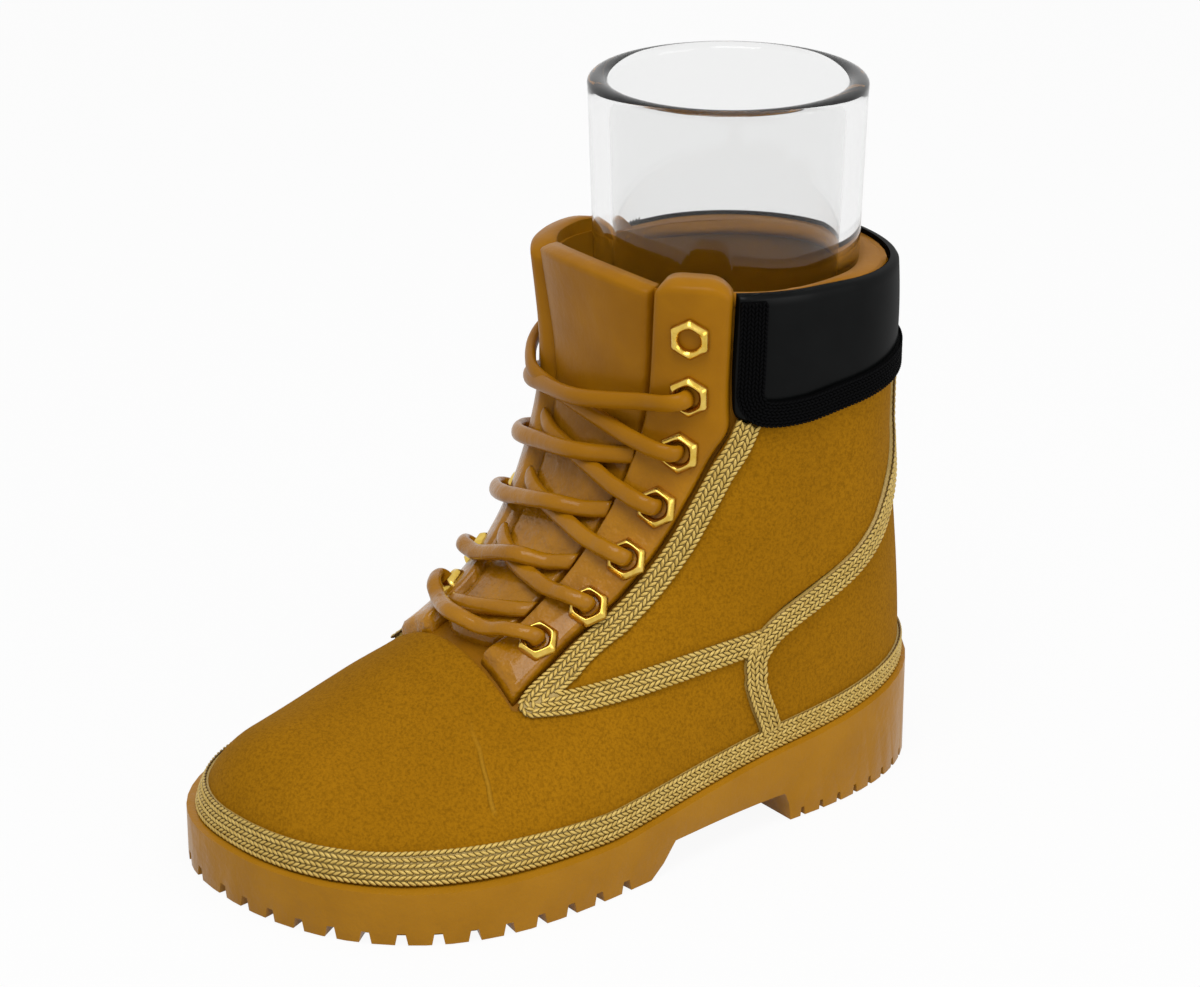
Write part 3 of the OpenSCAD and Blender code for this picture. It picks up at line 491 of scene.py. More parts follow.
suede = Finish("suede", Specular_IOR_Level=0.04, Sheen_Weight=0.06, Sheen_Roughness=0.4)
suede.shader.inputs["Sheen Tint"].default_value = (0.9, 0.7, 0.25, 1.0)
mottle = suede.noise(0.07, 3.0, 0.55)
grain = suede.noise(2.1, 3.0, 0.75)
pinch = crease(suede)
nap = suede.blend(suede.ramp(mottle, 0.3, 0.7), SUEDE_DEEP, SUEDE_LIGHT)
nap = suede.blend(suede.ramp(grain, 0.42, 0.66) * 0.55, nap, SUEDE_GRAIN)
suede.colour(suede.blend(pinch * 0.45, nap, SUEDE_PINCH))
suede.rough(0.86 + 0.1 * grain)
suede.relief(0.25 * grain + pinch, 0.25)
print("suede nodes:", len(suede.tree.nodes))

# %% [markdown]
# The cast resin is tan and varnished. The varnish lies in low lumps, so a highlight breaks up, and the
# colour is a little deeper here and there. Low on the instep the varnish is thick and wet-looking,
# and towards the collar it is worn to satin, so the gloss fades with height. The colour is also
# painted lighter low down, as painted light, and turns deeper towards the collar. The sole and the laces
# are the same resin with less varnish, and the body inside the collar has none.

# %% Resin
SATIN_FROM, SATIN_TO = 44.0, 64.0


def resin(name, light, deep, lumps_mm, gloss, worn, coat):
    made = Finish(name, Specular_IOR_Level=0.08, Coat_Roughness=0.07)
    height = made.node("SeparateXYZ", None, {0: made.millimetres()}).out(2)
    wear_and_painted_light = made.ramp(height, SATIN_FROM, SATIN_TO)
    cloud = made.noise(0.12, 2.0)
    lumps = made.noise(0.35, 1.0) + 0.3 * made.noise(1.1, 1.0)
    pits = made.noise(2.2, 2.0, 0.6)
    # Painted light: the colour is painted lighter low down and fades to the deep colour towards the collar.
    made.colour(made.blend(made.ramp(cloud, 0.3, 0.7) * (1.0 - 0.6 * wear_and_painted_light), deep, light))
    made.rough(gloss + 0.12 * pits + worn * wear_and_painted_light)
    made.feed(made.shader.inputs["Coat Weight"], coat * (1.0 - 0.9 * wear_and_painted_light) if worn else coat)
    made.relief((lumps + 0.1 * pits) * (1.0 - 0.85 * wear_and_painted_light), lumps_mm)
    return made


boot_resin = resin("boot_resin", (0.450, 0.193, 0.003), (0.300, 0.120, 0.002),
                   lumps_mm=0.7, gloss=0.17, worn=0.18, coat=0.34)
core_resin = resin("core_resin", (0.400, 0.165, 0.003), (0.290, 0.115, 0.002),
                   lumps_mm=0.25, gloss=0.42, worn=0.0, coat=0.0)
sole_resin = resin("sole_resin", (0.390, 0.174, 0.007), (0.350, 0.153, 0.005),
                   lumps_mm=0.2, gloss=0.3, worn=0.0, coat=0.1)
lace_resin = resin("lace", (0.370, 0.156, 0.003), (0.315, 0.127, 0.002),
                   lumps_mm=0.3, gloss=0.22, worn=0.1, coat=0.25)
print("finishes so far:", len(bpy.data.materials))

# %% [markdown]
# The braid is plaited from metallic gold yarn. Its stitches are real shapes further down, and each
# point of them knows how far up its stitch it lies, so the hollows between them can be painted dark
# as shade, without any image.

# %% Gold braid
gold_braid = Finish("gold_braid", Specular_IOR_Level=0.5)
stitch_shade_lift = gold_braid.node("Attribute", {"attribute_name": "lift"}).out("Fac")
fibre = gold_braid.noise(6.0, 1.0)
crest = gold_braid.blend(gold_braid.ramp(gold_braid.noise(0.8, 2.0), 0.35, 0.65),
                         (0.51, 0.338, 0.066), (0.62, 0.435, 0.11))
# Painted shade: low on each stitch and on the ground the colour is painted dark, as the shade in the hollows.
gold_braid.colour(gold_braid.blend(gold_braid.ramp(stitch_shade_lift, 0.05, 0.65), (0.115, 0.06, 0.006), crest))
gold_braid.rough(0.40 + 0.15 * fibre)
gold_braid.feed(gold_braid.shader.inputs["Metallic"], gold_braid.ramp(stitch_shade_lift, 0.2, 0.8) * 0.25)
gold_braid.relief(fibre, 0.03)
print("braid nodes:", len(gold_braid.tree.nodes))

# %% [markdown]
# The collar is black leatherette: a fine cell grain pressed into a film with a soft shine. Its binding
# is matte black thread. The eyelets are brass, duller in patches, because even rubbed metal is never
# one gloss all over. The glass is clear, and only its roughness varies, where it has been handled.

# %% Collar, binding, eyelets and glass
collar = Finish("collar", Specular_IOR_Level=0.0, Coat_Weight=0.17, Coat_Roughness=0.3)
cells = collar.node("TexVoronoi", {"feature": "DISTANCE_TO_EDGE"},
                    {"Vector": collar.millimetres(), "Scale": 1.6}).out(0)
collar.colour(collar.blend(collar.ramp(collar.noise(0.2), 0.3, 0.7), (0.0016, 0.0019, 0.0019),
                           (0.0028, 0.0032, 0.0032)))
collar.rough(0.36 + 0.1 * collar.noise(0.8))
collar.relief(collar.ramp(cells, 0.0, 0.12), 0.012)

binding = Finish("binding", Specular_IOR_Level=0.03)
thread_shade_lift = binding.node("Attribute", {"attribute_name": "lift"}).out("Fac")
# Painted shade: the binding is painted darker low on each stitch and on its ground, lighter on the crests.
binding.colour(binding.blend(binding.ramp(thread_shade_lift, 0.0, 0.8), (0.0010, 0.0010, 0.0011),
                             (0.0030, 0.0030, 0.0033)))
binding.rough(0.7 + 0.2 * binding.noise(5.0))

eyelet_gold = Finish("eyelet", Metallic=1.0)
dulled = eyelet_gold.noise(0.9, 2.0)
eyelet_gold.colour(eyelet_gold.blend(eyelet_gold.ramp(dulled, 0.35, 0.7), (0.62, 0.40, 0.06),
                                     (0.74, 0.52, 0.12)))
eyelet_gold.rough(0.16 + 0.14 * dulled)

clear = Finish("glass", Transmission_Weight=1.0, IOR=1.36, Specular_IOR_Level=0.25,
               Base_Color=(0.90, 0.902, 0.90))
clear.rough(0.015 + 0.02 * clear.ramp(clear.noise(0.05, 2.0), 0.45, 0.75))
print("finishes:", len(bpy.data.materials))

# %% [markdown]
# A panel laid on the skin starts as two flat grids. One is moved to the panel's face, with its rim
# rolled down in a quarter circle, and the other to its back, then the two are welded where their rims
# meet. The panel has thickness, and its edge catches the light as a cut edge does.


# %% Panels on the skin
SIDES = ((1, "left"), (-1, "right"))
ROLL_STEPS, WELD = 3, 1e-6


def rolled(steps, share, closed=False):
    """Shares across a panel and how far the rolled edge has risen at each."""
    if closed:
        return np.linspace(0, 1, steps + 1), np.ones(steps + 1)
    arc = np.linspace(0, np.pi / 2, ROLL_STEPS + 1)
    edge, rise = share * (1 - np.cos(arc)), np.sin(arc)
    flat = np.linspace(share, 1 - share, steps + 1)[1:-1]
    return (np.concatenate([edge, flat, 1 - edge[::-1]]),
            np.concatenate([rise, np.ones(len(flat)), rise[::-1]]))


def lay(bm, place, size, steps, low, high, roll, closed=False, relief=None):
    """Adds a face and a back over a patch of the skin: size in mm, steps each way, heights low and high."""
    across, rise_across = rolled(steps[0], roll / size[0], closed)
    up, rise_up = rolled(steps[1], roll / size[1])
    cols, rows = len(across) - 1, len(up) - 1
    new = []
    for face in (True, False):
        verts = bmesh.ops.create_grid(bm, x_segments=cols, y_segments=rows, size=0.5)["verts"]
        grid = np.array([v.co for v in verts])
        i = np.rint((grid[:, 0] + 0.5) * cols).astype(int)
        j = np.rint((grid[:, 1] + 0.5) * rows).astype(int)
        where = place(across[i], up[j])
        height = np.full(len(verts), low)
        if face:
            height = low + (high - low) * rise_across[i] * rise_up[j]
            if relief is not None:
                height = height + relief(where)
        for vert, point in zip(verts, over(where, height) * MM):
            vert.co = point
        if not face:
            bmesh.ops.reverse_faces(bm, faces=list({f for v in verts for f in v.link_faces}))
        new += verts
    bmesh.ops.remove_doubles(bm, verts=new, dist=WELD)


def piece(name, bm, finish, stands_for, body="boot"):
    """Makes a bmesh an object that rides on a body and stands for CAD nodes."""
    bmesh.ops.recalc_face_normals(bm, faces=bm.faces[:])
    for f in bm.faces:
        f.smooth = True
    mesh = bpy.data.meshes.new(name)
    bm.to_mesh(mesh)
    bm.free()
    made = bpy.data.objects.new(name, mesh)
    bpy.context.scene.collection.objects.link(made)
    mesh.materials.append(finish.material)
    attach(made, body)
    if stands_for:
        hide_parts(*stands_for)
    print(name, len(mesh.polygons), "faces")
    return made


def gather(bm, part):
    """Adds a small bmesh to a larger one."""
    spare = bpy.data.meshes.new("spare")
    part.to_mesh(spare)
    part.free()
    bm.from_mesh(spare)
    bpy.data.meshes.remove(spare)


def on_side(place, side):
    """A patch of the outer side, or the same patch on the inner side of the boot."""
    if side > 0:
        return place

    def mirrored(p, q):
        there = place(1 - p, q)
        return places(4 - there[..., 0], there[..., 1])
    return mirrored


PANEL_FOOT, BUTT, SUEDE_THICK, SUEDE_ROLL = WELT + 0.5, 0.15, 1.0, 0.4
BUTT_TURN, COUNTER_GAP = BUTT / 24, 0.012


def vamp_place(p, q):
    """The rows lie closer together towards the throat, where the skin bends most."""
    row = between(PANEL_FOOT, SEAM - BUTT, q)
    u = counter_turn(row) - COUNTER_GAP
    turn = between(-u, u, p)
    head = throat_level(turn) - BUTT
    return places(turn, between(PANEL_FOOT, head, np.where(q < 0.5, q * 1.2, 0.6 + (q - 0.5) * 0.8)))


def quarter_place(side):
    def place(p, q):
        row = between(SEAM + 2 * BUTT, COLLAR_SEAM - BUTT, q)
        turn = between(eyestay_turn(row, side) + BUTT_TURN, counter_turn(row) - BUTT_TURN, p)
        lift = (1 - q) * (seam_level(turn) - SEAM) + q * (collar_edge(turn) - COLLAR_SEAM)
        return places(turn, row + lift)
    return place


def counter_place(p, q):
    row = between(PANEL_FOOT, COLLAR_SEAM - BUTT, q)
    u = counter_turn(row) + COUNTER_GAP
    turn = between(u, 4 - u, p)
    return places(turn, row + q * (collar_edge(turn) - COLLAR_SEAM))


def suede_panel(name, place, size, steps, node):
    """A panel of suede, its face flush with the skin."""
    bm = bmesh.new()
    lay(bm, place, size, steps, -SUEDE_THICK, 0.0, SUEDE_ROLL)
    piece(name, bm, suede, [node])


suede_panel("toe_panel", vamp_place, (170, 22), (120, 36), "vamp_panel")
for side, name in SIDES:
    where = on_side(quarter_place(side), side)
    suede_panel(f"side_panel_{name}", where, (45, 38), (44, 36), f"quarter_panel_{name}")
suede_panel("heel_panel", counter_place, (90, 55), (70, 44), "heel_counter")

# %% [markdown]
# The tongue and the eyestays are cast, so their edges are rounder than the suede's. Each eyestay
# ends in a rounded tab at the collar.

# %% Tongue and eyestays
TAB_RISE, TAB_LEAN, EYESTAY_STEP, BACKING, TONGUE_CROWN = 2.4, 1.3, 1.4, 2.7, 1.2


def collared(level):
    """0 below the collar seam and 1 above it."""
    return ease(COLLAR_SEAM - 4, COLLAR_SEAM + 2, level)


def tongue_place(p, q):
    level = between(GORE_HEAD + 0.4, COLLAR, q)
    turn = between(-tongue_turn(level, -1), tongue_turn(level, 1), p)
    return places(turn, level + (1 - (2 * p - 1) ** 2) * TONGUE_CROWN * q)


def eyestay_place(side):
    def place(p, q):
        row = between(SEAM, COLLAR, q)
        front = tongue_turn(np.maximum(row, GORE_HEAD + 0.3), side) + 2 * BUTT_TURN
        rear = between(eyestay_turn(row, side), collar_turn(row, side), collared(row))
        turn = between(front, rear - BUTT_TURN, p)
        tab = TAB_RISE * (1 - (2 * p - 1) ** 4) + TAB_LEAN * (collar_at(side) - COLLAR)
        return places(turn, row + (1 - q) * (throat_level(turn) - SEAM) + q**3 * tab)
    return place


bm = bmesh.new()
lay(bm, tongue_place, (22, 62), (28, 64), -BACKING, 0.1, 0.8)
piece("tongue_piece", bm, boot_resin, ["tongue"])
for side, name in SIDES:
    bm = bmesh.new()
    where = on_side(eyestay_place(side), side)
    lay(bm, where, (12, 70), (18, 80), -BACKING, EYESTAY_STEP, 1.1)
    piece(f"eyestay_piece_{name}", bm, boot_resin, [f"eyestay_{name}"])

# %% [markdown]
# The collar is a thin band of smooth black leatherette, glued on round the top of the shaft. Its face
# is raised a little between its edges, so that it catches one long soft highlight. That lifts parts of
# its rim off its back too, by half a millimetre at most, below the skin.

# %% Collar band
COLLAR_STEP, COLLAR_SWELL, COLLAR_PROUD, COLLAR_LENGTH, COLLAR_CORNER = 0.3, 0.5, 0.5, 110.0, 2.6


def collar_place(p, q):
    row = between(COLLAR_SEAM, COLLAR, q)
    turn = between(collar_turn(row, 1), 4 - collar_turn(row, -1), p)
    rim = skin(places(turn, COLLAR))
    top = collar_top(rim[..., 0], rim[..., 1]) + COLLAR_PROUD
    inside = COLLAR_CORNER - np.minimum(COLLAR_CORNER, np.minimum(p, 1 - p) * COLLAR_LENGTH)
    corner = COLLAR_CORNER - np.sqrt(COLLAR_CORNER**2 - inside**2)
    return places(turn, between(collar_edge(turn) + BUTT + corner, top, q))


def collar_puff(where):
    q = (where[:, 1] - COLLAR_SEAM) / (COLLAR - COLLAR_SEAM)
    return COLLAR_SWELL * np.sin(np.pi * np.clip(q, 0, 1)) ** 0.8


bm = bmesh.new()
lay(bm, collar_place, (COLLAR_LENGTH, 18), (100, 16), -SUEDE_THICK, COLLAR_STEP, 0.7, relief=collar_puff)
piece("collar_piece", bm, collar, ["collar_band"])

# %% [markdown]
# A flat braid shows rows of stitches that slant one way and then the other. Each stitch is a small
# ball, squared off to a pad and then sheared, so that the pads of a row lie edge to edge, and the
# rows lie side by side on a thin ground. A row is spaced along its points, not along its turns,
# because a turn is longer in some places than in others.

# %% Stitches
STITCH_PITCH, BINDING_PITCH, STITCH_STEP = 0.95, 0.7, 0.3
# The second number sets how far the ground under the stitches is painted into shade.
SLANT, GROUND_SHADE_LIFT = math.radians(42), 0.4


def lengths(points):
    return np.concatenate([[0], np.cumsum(np.linalg.norm(np.diff(points, axis=0), axis=1))])


ball = bmesh.new()
bmesh.ops.create_uvsphere(ball, u_segments=8, v_segments=5, radius=1.0)
# Each point keeps its lift, how far up the stitch it lies; the braid finishes paint low points dark, as shade
# in the hollows.
shade_lift_layer = ball.verts.layers.float.new("lift")
for vert in ball.verts:
    vert[shade_lift_layer] = max(0.0, vert.co.y)
    round_r, square_r = math.hypot(vert.co.x, vert.co.z), (vert.co.x**4 + vert.co.z**4) ** 0.25
    squared = round_r / square_r if square_r > 1e-6 else 1.0
    vert.co = (vert.co.x * squared, vert.co.y, vert.co.z * squared)
stitch = bpy.data.meshes.new("stitch")
ball.to_mesh(stitch)
ball.free()
stitch_points = np.array([v.co for v in stitch.vertices])


def stitch_row(bm, line, slant, pitch, half, height, start):
    """One row of stitches along a line of places. half is (long, wide, high) in mm."""
    points = over(line, np.full(len(line), height))
    run = lengths(points)
    count = max(2, round(run[-1] / pitch))
    s = (np.arange(count) + start) * run[-1] / count

    def at(distance, values):
        return np.stack([np.interp(distance, run, values[:, c]) for c in range(3)], -1)

    middle = at(s, points)
    normal = unit(at(s, outward(line)))
    ahead, behind = np.minimum(s + STITCH_STEP, run[-1]), np.maximum(s - STITCH_STEP, 0)
    way = unit(at(ahead, points) - at(behind, points))
    aside = np.cross(normal, way)
    drawn = way / math.tan(slant) + aside
    for k in range(count):
        shape = np.array([way[k] * half[0], normal[k] * half[2], drawn[k] * half[1]])
        there = (stitch_points @ shape + middle[k]) * MM
        stitch.vertices.foreach_set("co", there.astype(np.float32).ravel())
        bm.from_mesh(stitch)


def braid(bm, row_lines, row_width, height, pitch=STITCH_PITCH, high=0.3):
    """Rows of stitches that slant by turns."""
    half = (0.5 * pitch, 0.52 * row_width, high)
    for n, line in enumerate(row_lines):
        slant = SLANT if n % 2 else -SLANT
        stitch_row(bm, line, slant, pitch, half, height, 0.5 if n % 2 else 0.25)


BRAID_LOW, GROUND_HIGH, STITCH_HEIGHT, BRAID_WIDTH, ROWS, OVERLAP = -0.6, 0.4, 0.5, 3.7, 5, 0.2
WELT_FOOT, WELT_WIDTH, WELT_ROWS = WELT + 0.15, 4.2, 6


def ground(bm, place, size, steps, high, closed=False):
    """The thin ground that the stitches lie on."""
    lay(bm, place, size, steps, BRAID_LOW, high, 0.3, closed)
    # The ground is given a low lift, so that it is painted partly in shade.
    ground_shade_lift = bm.verts.layers.float.new("lift")
    for vert in bm.verts:
        vert[ground_shade_lift] = GROUND_SHADE_LIFT


LINE = np.linspace(0, 1, 161)


def rows_of(place, count, line=LINE):
    """The middle lines of the rows of a braid."""
    return [place(line, np.full(len(line), (n + 0.5) / count)) for n in range(count)]


def plait(name, place, size, steps, rows, nodes, lift=0.0, closed=False):
    """A gold braid, its ground and its rows of stitches, as one piece."""
    bm = bmesh.new()
    ground(bm, place, size, steps, GROUND_HIGH + lift, closed)
    braid(bm, rows, size[1] / len(rows), STITCH_HEIGHT + lift)
    piece(name, bm, gold_braid, nodes)


def welt_place(p, q):
    return places(4 * p, WELT_FOOT + q * WELT_WIDTH)


plait("welt_plait", welt_place, (330, WELT_WIDTH), (220, 4), rows_of(welt_place, WELT_ROWS),
      ["welt_braid"], closed=True)

counter_head = float(collar_edge(counter_turn(COLLAR_SEAM))) + 0.6
counter_levels = np.linspace(WELT_FOOT + WELT_WIDTH - 0.2, counter_head, 23)
counter_band = band(places(counter_turn(counter_levels), counter_levels), BRAID_WIDTH)
for side, name in SIDES:
    where = on_side(counter_band, side)
    plait(f"counter_plait_{name}", where, (70, BRAID_WIDTH), (90, 4), rows_of(where, ROWS),
          [f"counter_braid_{name}"], lift=OVERLAP)

# %% [markdown]
# One length of braid comes down behind the eyestay, turns round at the tip and runs back along the
# side. Every row of it is the same two lines: where they cross, the outer rows go round in an arc
# and the inner rows meet in a corner.

# %% Braid that turns at the tip
TIP_RADIUS = 2.2
BINDING_WIDTH = 4.0
BINDING_ROW = COLLAR_SEAM + BINDING_WIDTH / 2 - 0.4
BRAID_END = BINDING_ROW - BINDING_WIDTH / 2 + 1.2


def eyestay_band(side):
    levels = np.linspace(SEAM - 3, BRAID_END, 13)
    return band(places(eyestay_turn(levels, side), levels), BRAID_WIDTH, -BRAID_WIDTH / 2 - 0.3)


def side_band(side):
    turns = np.linspace(float(eyestay_turn(SEAM, side)), float(counter_turn(SEAM + SEAM_RISE)), 11)
    return band(places(turns, seam_level(turns)), BRAID_WIDTH)


def crossing_of(a, b):
    """Where two lines of flat points first cross: the step along each line, and the point."""
    for i in range(len(a) - 1):
        d, e = a[i + 1] - a[i], b[1:] - b[:-1]
        w = b[:-1] - a[i]
        det = d[0] * -e[:, 1] + d[1] * e[:, 0]
        s = (w[:, 0] * -e[:, 1] + w[:, 1] * e[:, 0]) / det
        t = (d[0] * w[:, 1] - d[1] * w[:, 0]) / det
        hit = np.flatnonzero((s >= 0) & (s <= 1) & (t >= 0) & (t <= 1))
        if len(hit):
            return i, int(hit[0]), a[i] + s[hit[0]] * d
    raise ValueError("the rows of the braid do not cross")


def folded(down, across, radius):
    """A row that comes down one line and goes on along the other, round an arc where they cross."""
    origin = across[len(across) // 6]
    a, b = along(origin[None])[0], upward(origin[None])[0]
    e1 = unit(a)
    e2 = unit(b - e1 * dot(b, e1))
    chart = np.array([[dot(a, e1), dot(b, e1)], [dot(a, e2), dot(b, e2)]])
    first, second = (down - origin) @ chart.T, (across - origin) @ chart.T
    first = np.vstack([first, first[-1] + unit(first[-1] - first[-6]) * np.arange(1, 16)[:, None]])
    second = np.vstack([second[0] + unit(second[0] - second[5]) * np.arange(15, 0, -1)[:, None], second])
    i, j, tip = crossing_of(first, second)
    up_way, on_way = unit(first[i - 4] - tip), unit(second[j + 5] - tip)
    half = math.acos(np.clip(dot(up_way, on_way), -1, 1)) / 2
    reach = radius / math.tan(half)
    middle = tip + unit(up_way + on_way) * radius / math.sin(half)
    keep_a = first[: i + 1][np.linalg.norm(first[: i + 1] - tip, axis=1) > reach]
    keep_b = second[j + 1:][np.linalg.norm(second[j + 1:] - tip, axis=1) > reach]
    u, v = tip + up_way * reach - middle, tip + on_way * reach - middle
    sweep = math.pi - 2 * half
    turn_way = math.copysign(1, u[0] * v[1] - u[1] * v[0])
    arc = [middle + np.array([u[0] * math.cos(k) - u[1] * math.sin(k) * turn_way,
                              u[0] * math.sin(k) * turn_way + u[1] * math.cos(k)])
           for k in np.linspace(0, sweep, 9)]
    path = np.vstack([keep_a, arc, keep_b])
    return path @ np.linalg.inv(chart).T + origin


def even(line, count):
    run = lengths(skin(line))
    s = np.linspace(0, run[-1], count)
    return places(np.interp(s, run, line[:, 0]), np.interp(s, run, line[:, 1]))


def edge_place(outer, inner_line):
    """Places between two edge lines."""
    def place(p, q):
        k = np.linspace(0, 1, len(outer))
        a = places(np.interp(p, k, outer[:, 0]), np.interp(p, k, outer[:, 1]))
        b = places(np.interp(p, k, inner_line[:, 0]), np.interp(p, k, inner_line[:, 1]))
        return between(a, b, q[..., None])
    return place


for side, name in SIDES:
    down_band, on_band = eyestay_band(side), side_band(side)

    def fold(q):
        """The row at share q from the outer edge of the fold."""
        one = np.full(len(LINE), 1.0)
        down = down_band(1 - LINE, one * (1 - q))
        on = on_band(LINE * 0.97, one * q)
        row = folded(down, on, max(0.15, TIP_RADIUS - q * BRAID_WIDTH))
        return row if side > 0 else places(4 - row[:, 0], row[:, 1])

    edges = [even(fold(q), 241) for q in (0.03, 0.97)][::side]
    rows = [fold((n + 0.5) / ROWS) for n in range(ROWS)]
    plait(f"eyestay_plait_{name}", edge_place(*edges), (110, BRAID_WIDTH), (200, 4), rows,
          [f"eyestay_braid_{name}", f"quarter_braid_{name}"])

# %% [markdown]
# The black binding runs down the front edges of the collar and round its lower edge. It is plaited
# too, but from matte thread and finer.

# %% Binding
BINDING_ROWS, BINDING_HIGH, BINDING_LINE = 8, COLLAR_STEP + 0.95, np.linspace(0, 1, 400)


def binding_side(side):
    y = COLLAR_FRONT_Y + inner_rear(COLLAR_SEAM, side) + BINDING_WIDTH / 2 + 0.1
    corner, head = 3.0, collar_at(side) - 0.8
    heights = [(0, head), (0, between(BINDING_ROW, head, 0.65)), (0, between(BINDING_ROW, head, 0.35)),
               (0, BINDING_ROW + corner), (corner * 0.3, BINDING_ROW + corner * 0.3), (corner, BINDING_ROW),
               (3 * corner, BINDING_ROW)]
    return np.array([spot(y + dy, z) for dy, z in heights])


left_front, right_front = binding_side(1), binding_side(-1)
round_turns = between(left_front[-1][0], 4 - right_front[-1][0], np.arange(0.1, 0.91, 0.1))
binding_line = np.vstack([left_front, places(round_turns, collar_edge(round_turns) + BINDING_WIDTH / 2 - 0.4),
                          places(4 - right_front[::-1, 0], right_front[::-1, 1])])
binding_place = band(binding_line, BINDING_WIDTH)
bm = bmesh.new()
lay(bm, binding_place, (150, BINDING_WIDTH), (140, 4), -0.4, BINDING_HIGH, 0.4)
braid(bm, rows_of(binding_place, BINDING_ROWS, BINDING_LINE), BINDING_WIDTH / BINDING_ROWS,
      BINDING_HIGH + 0.05, BINDING_PITCH, 0.2)
piece("binding_plait", bm, binding, ["collar_binding"])

# %% [markdown]
# The eyelets are hexagonal, with a sloping outer face, a narrow crest and a dished inner face round
# the hole. A ring of 48 points is drawn as a hexagon and extruded from one outline to the next. They
# have no underside, because they sit on the eyestay.

# %% Eyelets
EYELET_COUNT, EYELET_PITCH, EYELET_START, EYELET_SETBACK = 7, 9.2, 32.4, 6.8
EYELET_SIZE, EYELET_THICK, SEAT_OUTER, SEAT_INNER, INNER_DROP = 6.6, 1.2, 0.05, -0.3, 1.5
EYELET_INSET = EYELET_SIZE / 2 + 1.3


def eyelet_turn(level, side):
    if side < 0:
        rear = between(np.interp(level, *eyestay_seam), COLLAR_FRONT_Y, collared(level))
        return turn_of(rear + inner_rear(level, side) - EYELET_INSET, level)
    low, high = ease(EYELET_START - 6, EYELET_START + 4, level), ease(60, COLLAR, level)
    setback = EYELET_SETBACK * (between(0.4, 1, low) - 0.2 * high)
    return turn_at_x(tongue_half(level, 1) + setback, level, side)


eyelet_line = np.arange(EYELET_START, COLLAR + 0.01, 1.0)
eyelet_run = lengths(skin(places(eyelet_turn(eyelet_line, 1), eyelet_line)))


def lace_level(n, side):
    drop = INNER_DROP * min(1, n - 1) if side < 0 else 0
    return np.interp((n - 1) * EYELET_PITCH, eyelet_run, eyelet_line) - drop


def eyelet_spot(n, side):
    level = np.array(lace_level(n, side))
    return places(side * eyelet_turn(level, side), level)


HEX_RINGS = [(3.3, 0.0, 1.0), (3.3, 0.35, 1.0), (3.05, 0.75, 1.0), (2.62, 1.18, 0.9), (2.45, 1.25, 0.8),
             (2.28, 1.2, 0.6), (1.75, 0.75, 0.15), (1.65, 0.55, 0.0), (1.65, 0.0, 0.0)]
RING_POINTS = 48


def hexagon(angle, radius, share):
    """Radius of a ring that is a hexagon at share 1 and a circle at share 0."""
    within = (angle + math.pi / 6) % (math.pi / 3) - math.pi / 6
    flat_side = radius * math.cos(math.pi / 6) / math.cos(abs(within) - math.pi / 6)
    corner = min(flat_side, radius * 0.985)
    return between(radius * (1 - 0.06 * share), corner, share)


def extruded(bm, ring):
    """The next ring of points, drawn out of the last one."""
    edges = dict.fromkeys(e for v in ring for e in v.link_edges)
    edges = [e for e in edges if all(v in ring for v in e.verts)]
    new = bmesh.ops.extrude_edge_only(bm, edges=edges)["geom"]
    return [g for g in new if isinstance(g, bmesh.types.BMVert)]


def add_eyelet(bm, n, side):
    here = eyelet_spot(n, side)
    normal = outward(here)
    seat = over(here, EYESTAY_STEP + (SEAT_OUTER if side > 0 else SEAT_INNER)) * MM
    turn_about = Matrix.Rotation(math.atan2(normal[1], normal[0]), 4, "Z") @ Matrix.Rotation(
        math.acos(normal[2]), 4, "Y")
    place_here = Matrix.Translation(Vector(seat)) @ turn_about
    ring = bmesh.ops.create_circle(bm, cap_ends=False, segments=RING_POINTS, radius=1.0)["verts"]
    for k, (radius, height, share) in enumerate(HEX_RINGS):
        ring = extruded(bm, ring) if k else ring
        for vert in ring:
            angle = math.atan2(vert.co.y, vert.co.x)
            r = hexagon(angle, radius, share) * MM
            vert.co = (r * math.cos(angle), r * math.sin(angle), height * MM)
    bmesh.ops.transform(bm, matrix=place_here, verts=bm.verts[:])


for side, name in SIDES:
    bm = bmesh.new()
    for n in range(1, EYELET_COUNT + 1):
        eyelet = bmesh.new()
        add_eyelet(eyelet, n, side)
        gather(bm, eyelet)
    piece(f"eyelet_row_{name}", bm, eyelet_gold, [f"eyelets_{name}"])

# %% [markdown]
# The laces are cast on. A strand rises out of an eyelet, bends over its rim, crosses the tongue and
# either goes into an eyelet on the other side or tucks in at the edge, and one strand is tucked in at
# both ends. A ring of points is extruded from station to station along the strand, and each station
# says how far the cord is pressed flat.

# %% Laces
LACE_R, PRESSED, BENT, TUCKED = 1.35, 0.8, 0.65, 0.5
TONGUE_FACE, SHEAR_LIMIT, TUCK_IN, RIM_GAP = 0.2, 1.6, 0.8, 0.25
BEND_R = BENT * LACE_R + 0.15
LACE_LOW = TONGUE_FACE + PRESSED * LACE_R
LACE_HIGH = LACE_LOW + 2 * PRESSED * LACE_R + 0.15


def heading(a, b):
    return skin(b) - skin(a)


def station(a, b, far, height, flat=1.0):
    way = heading(a, b)
    p = between(a, b, far / np.linalg.norm(way))
    return np.concatenate([over(p, height), unit(np.cross(way, outward(p))), [flat]])


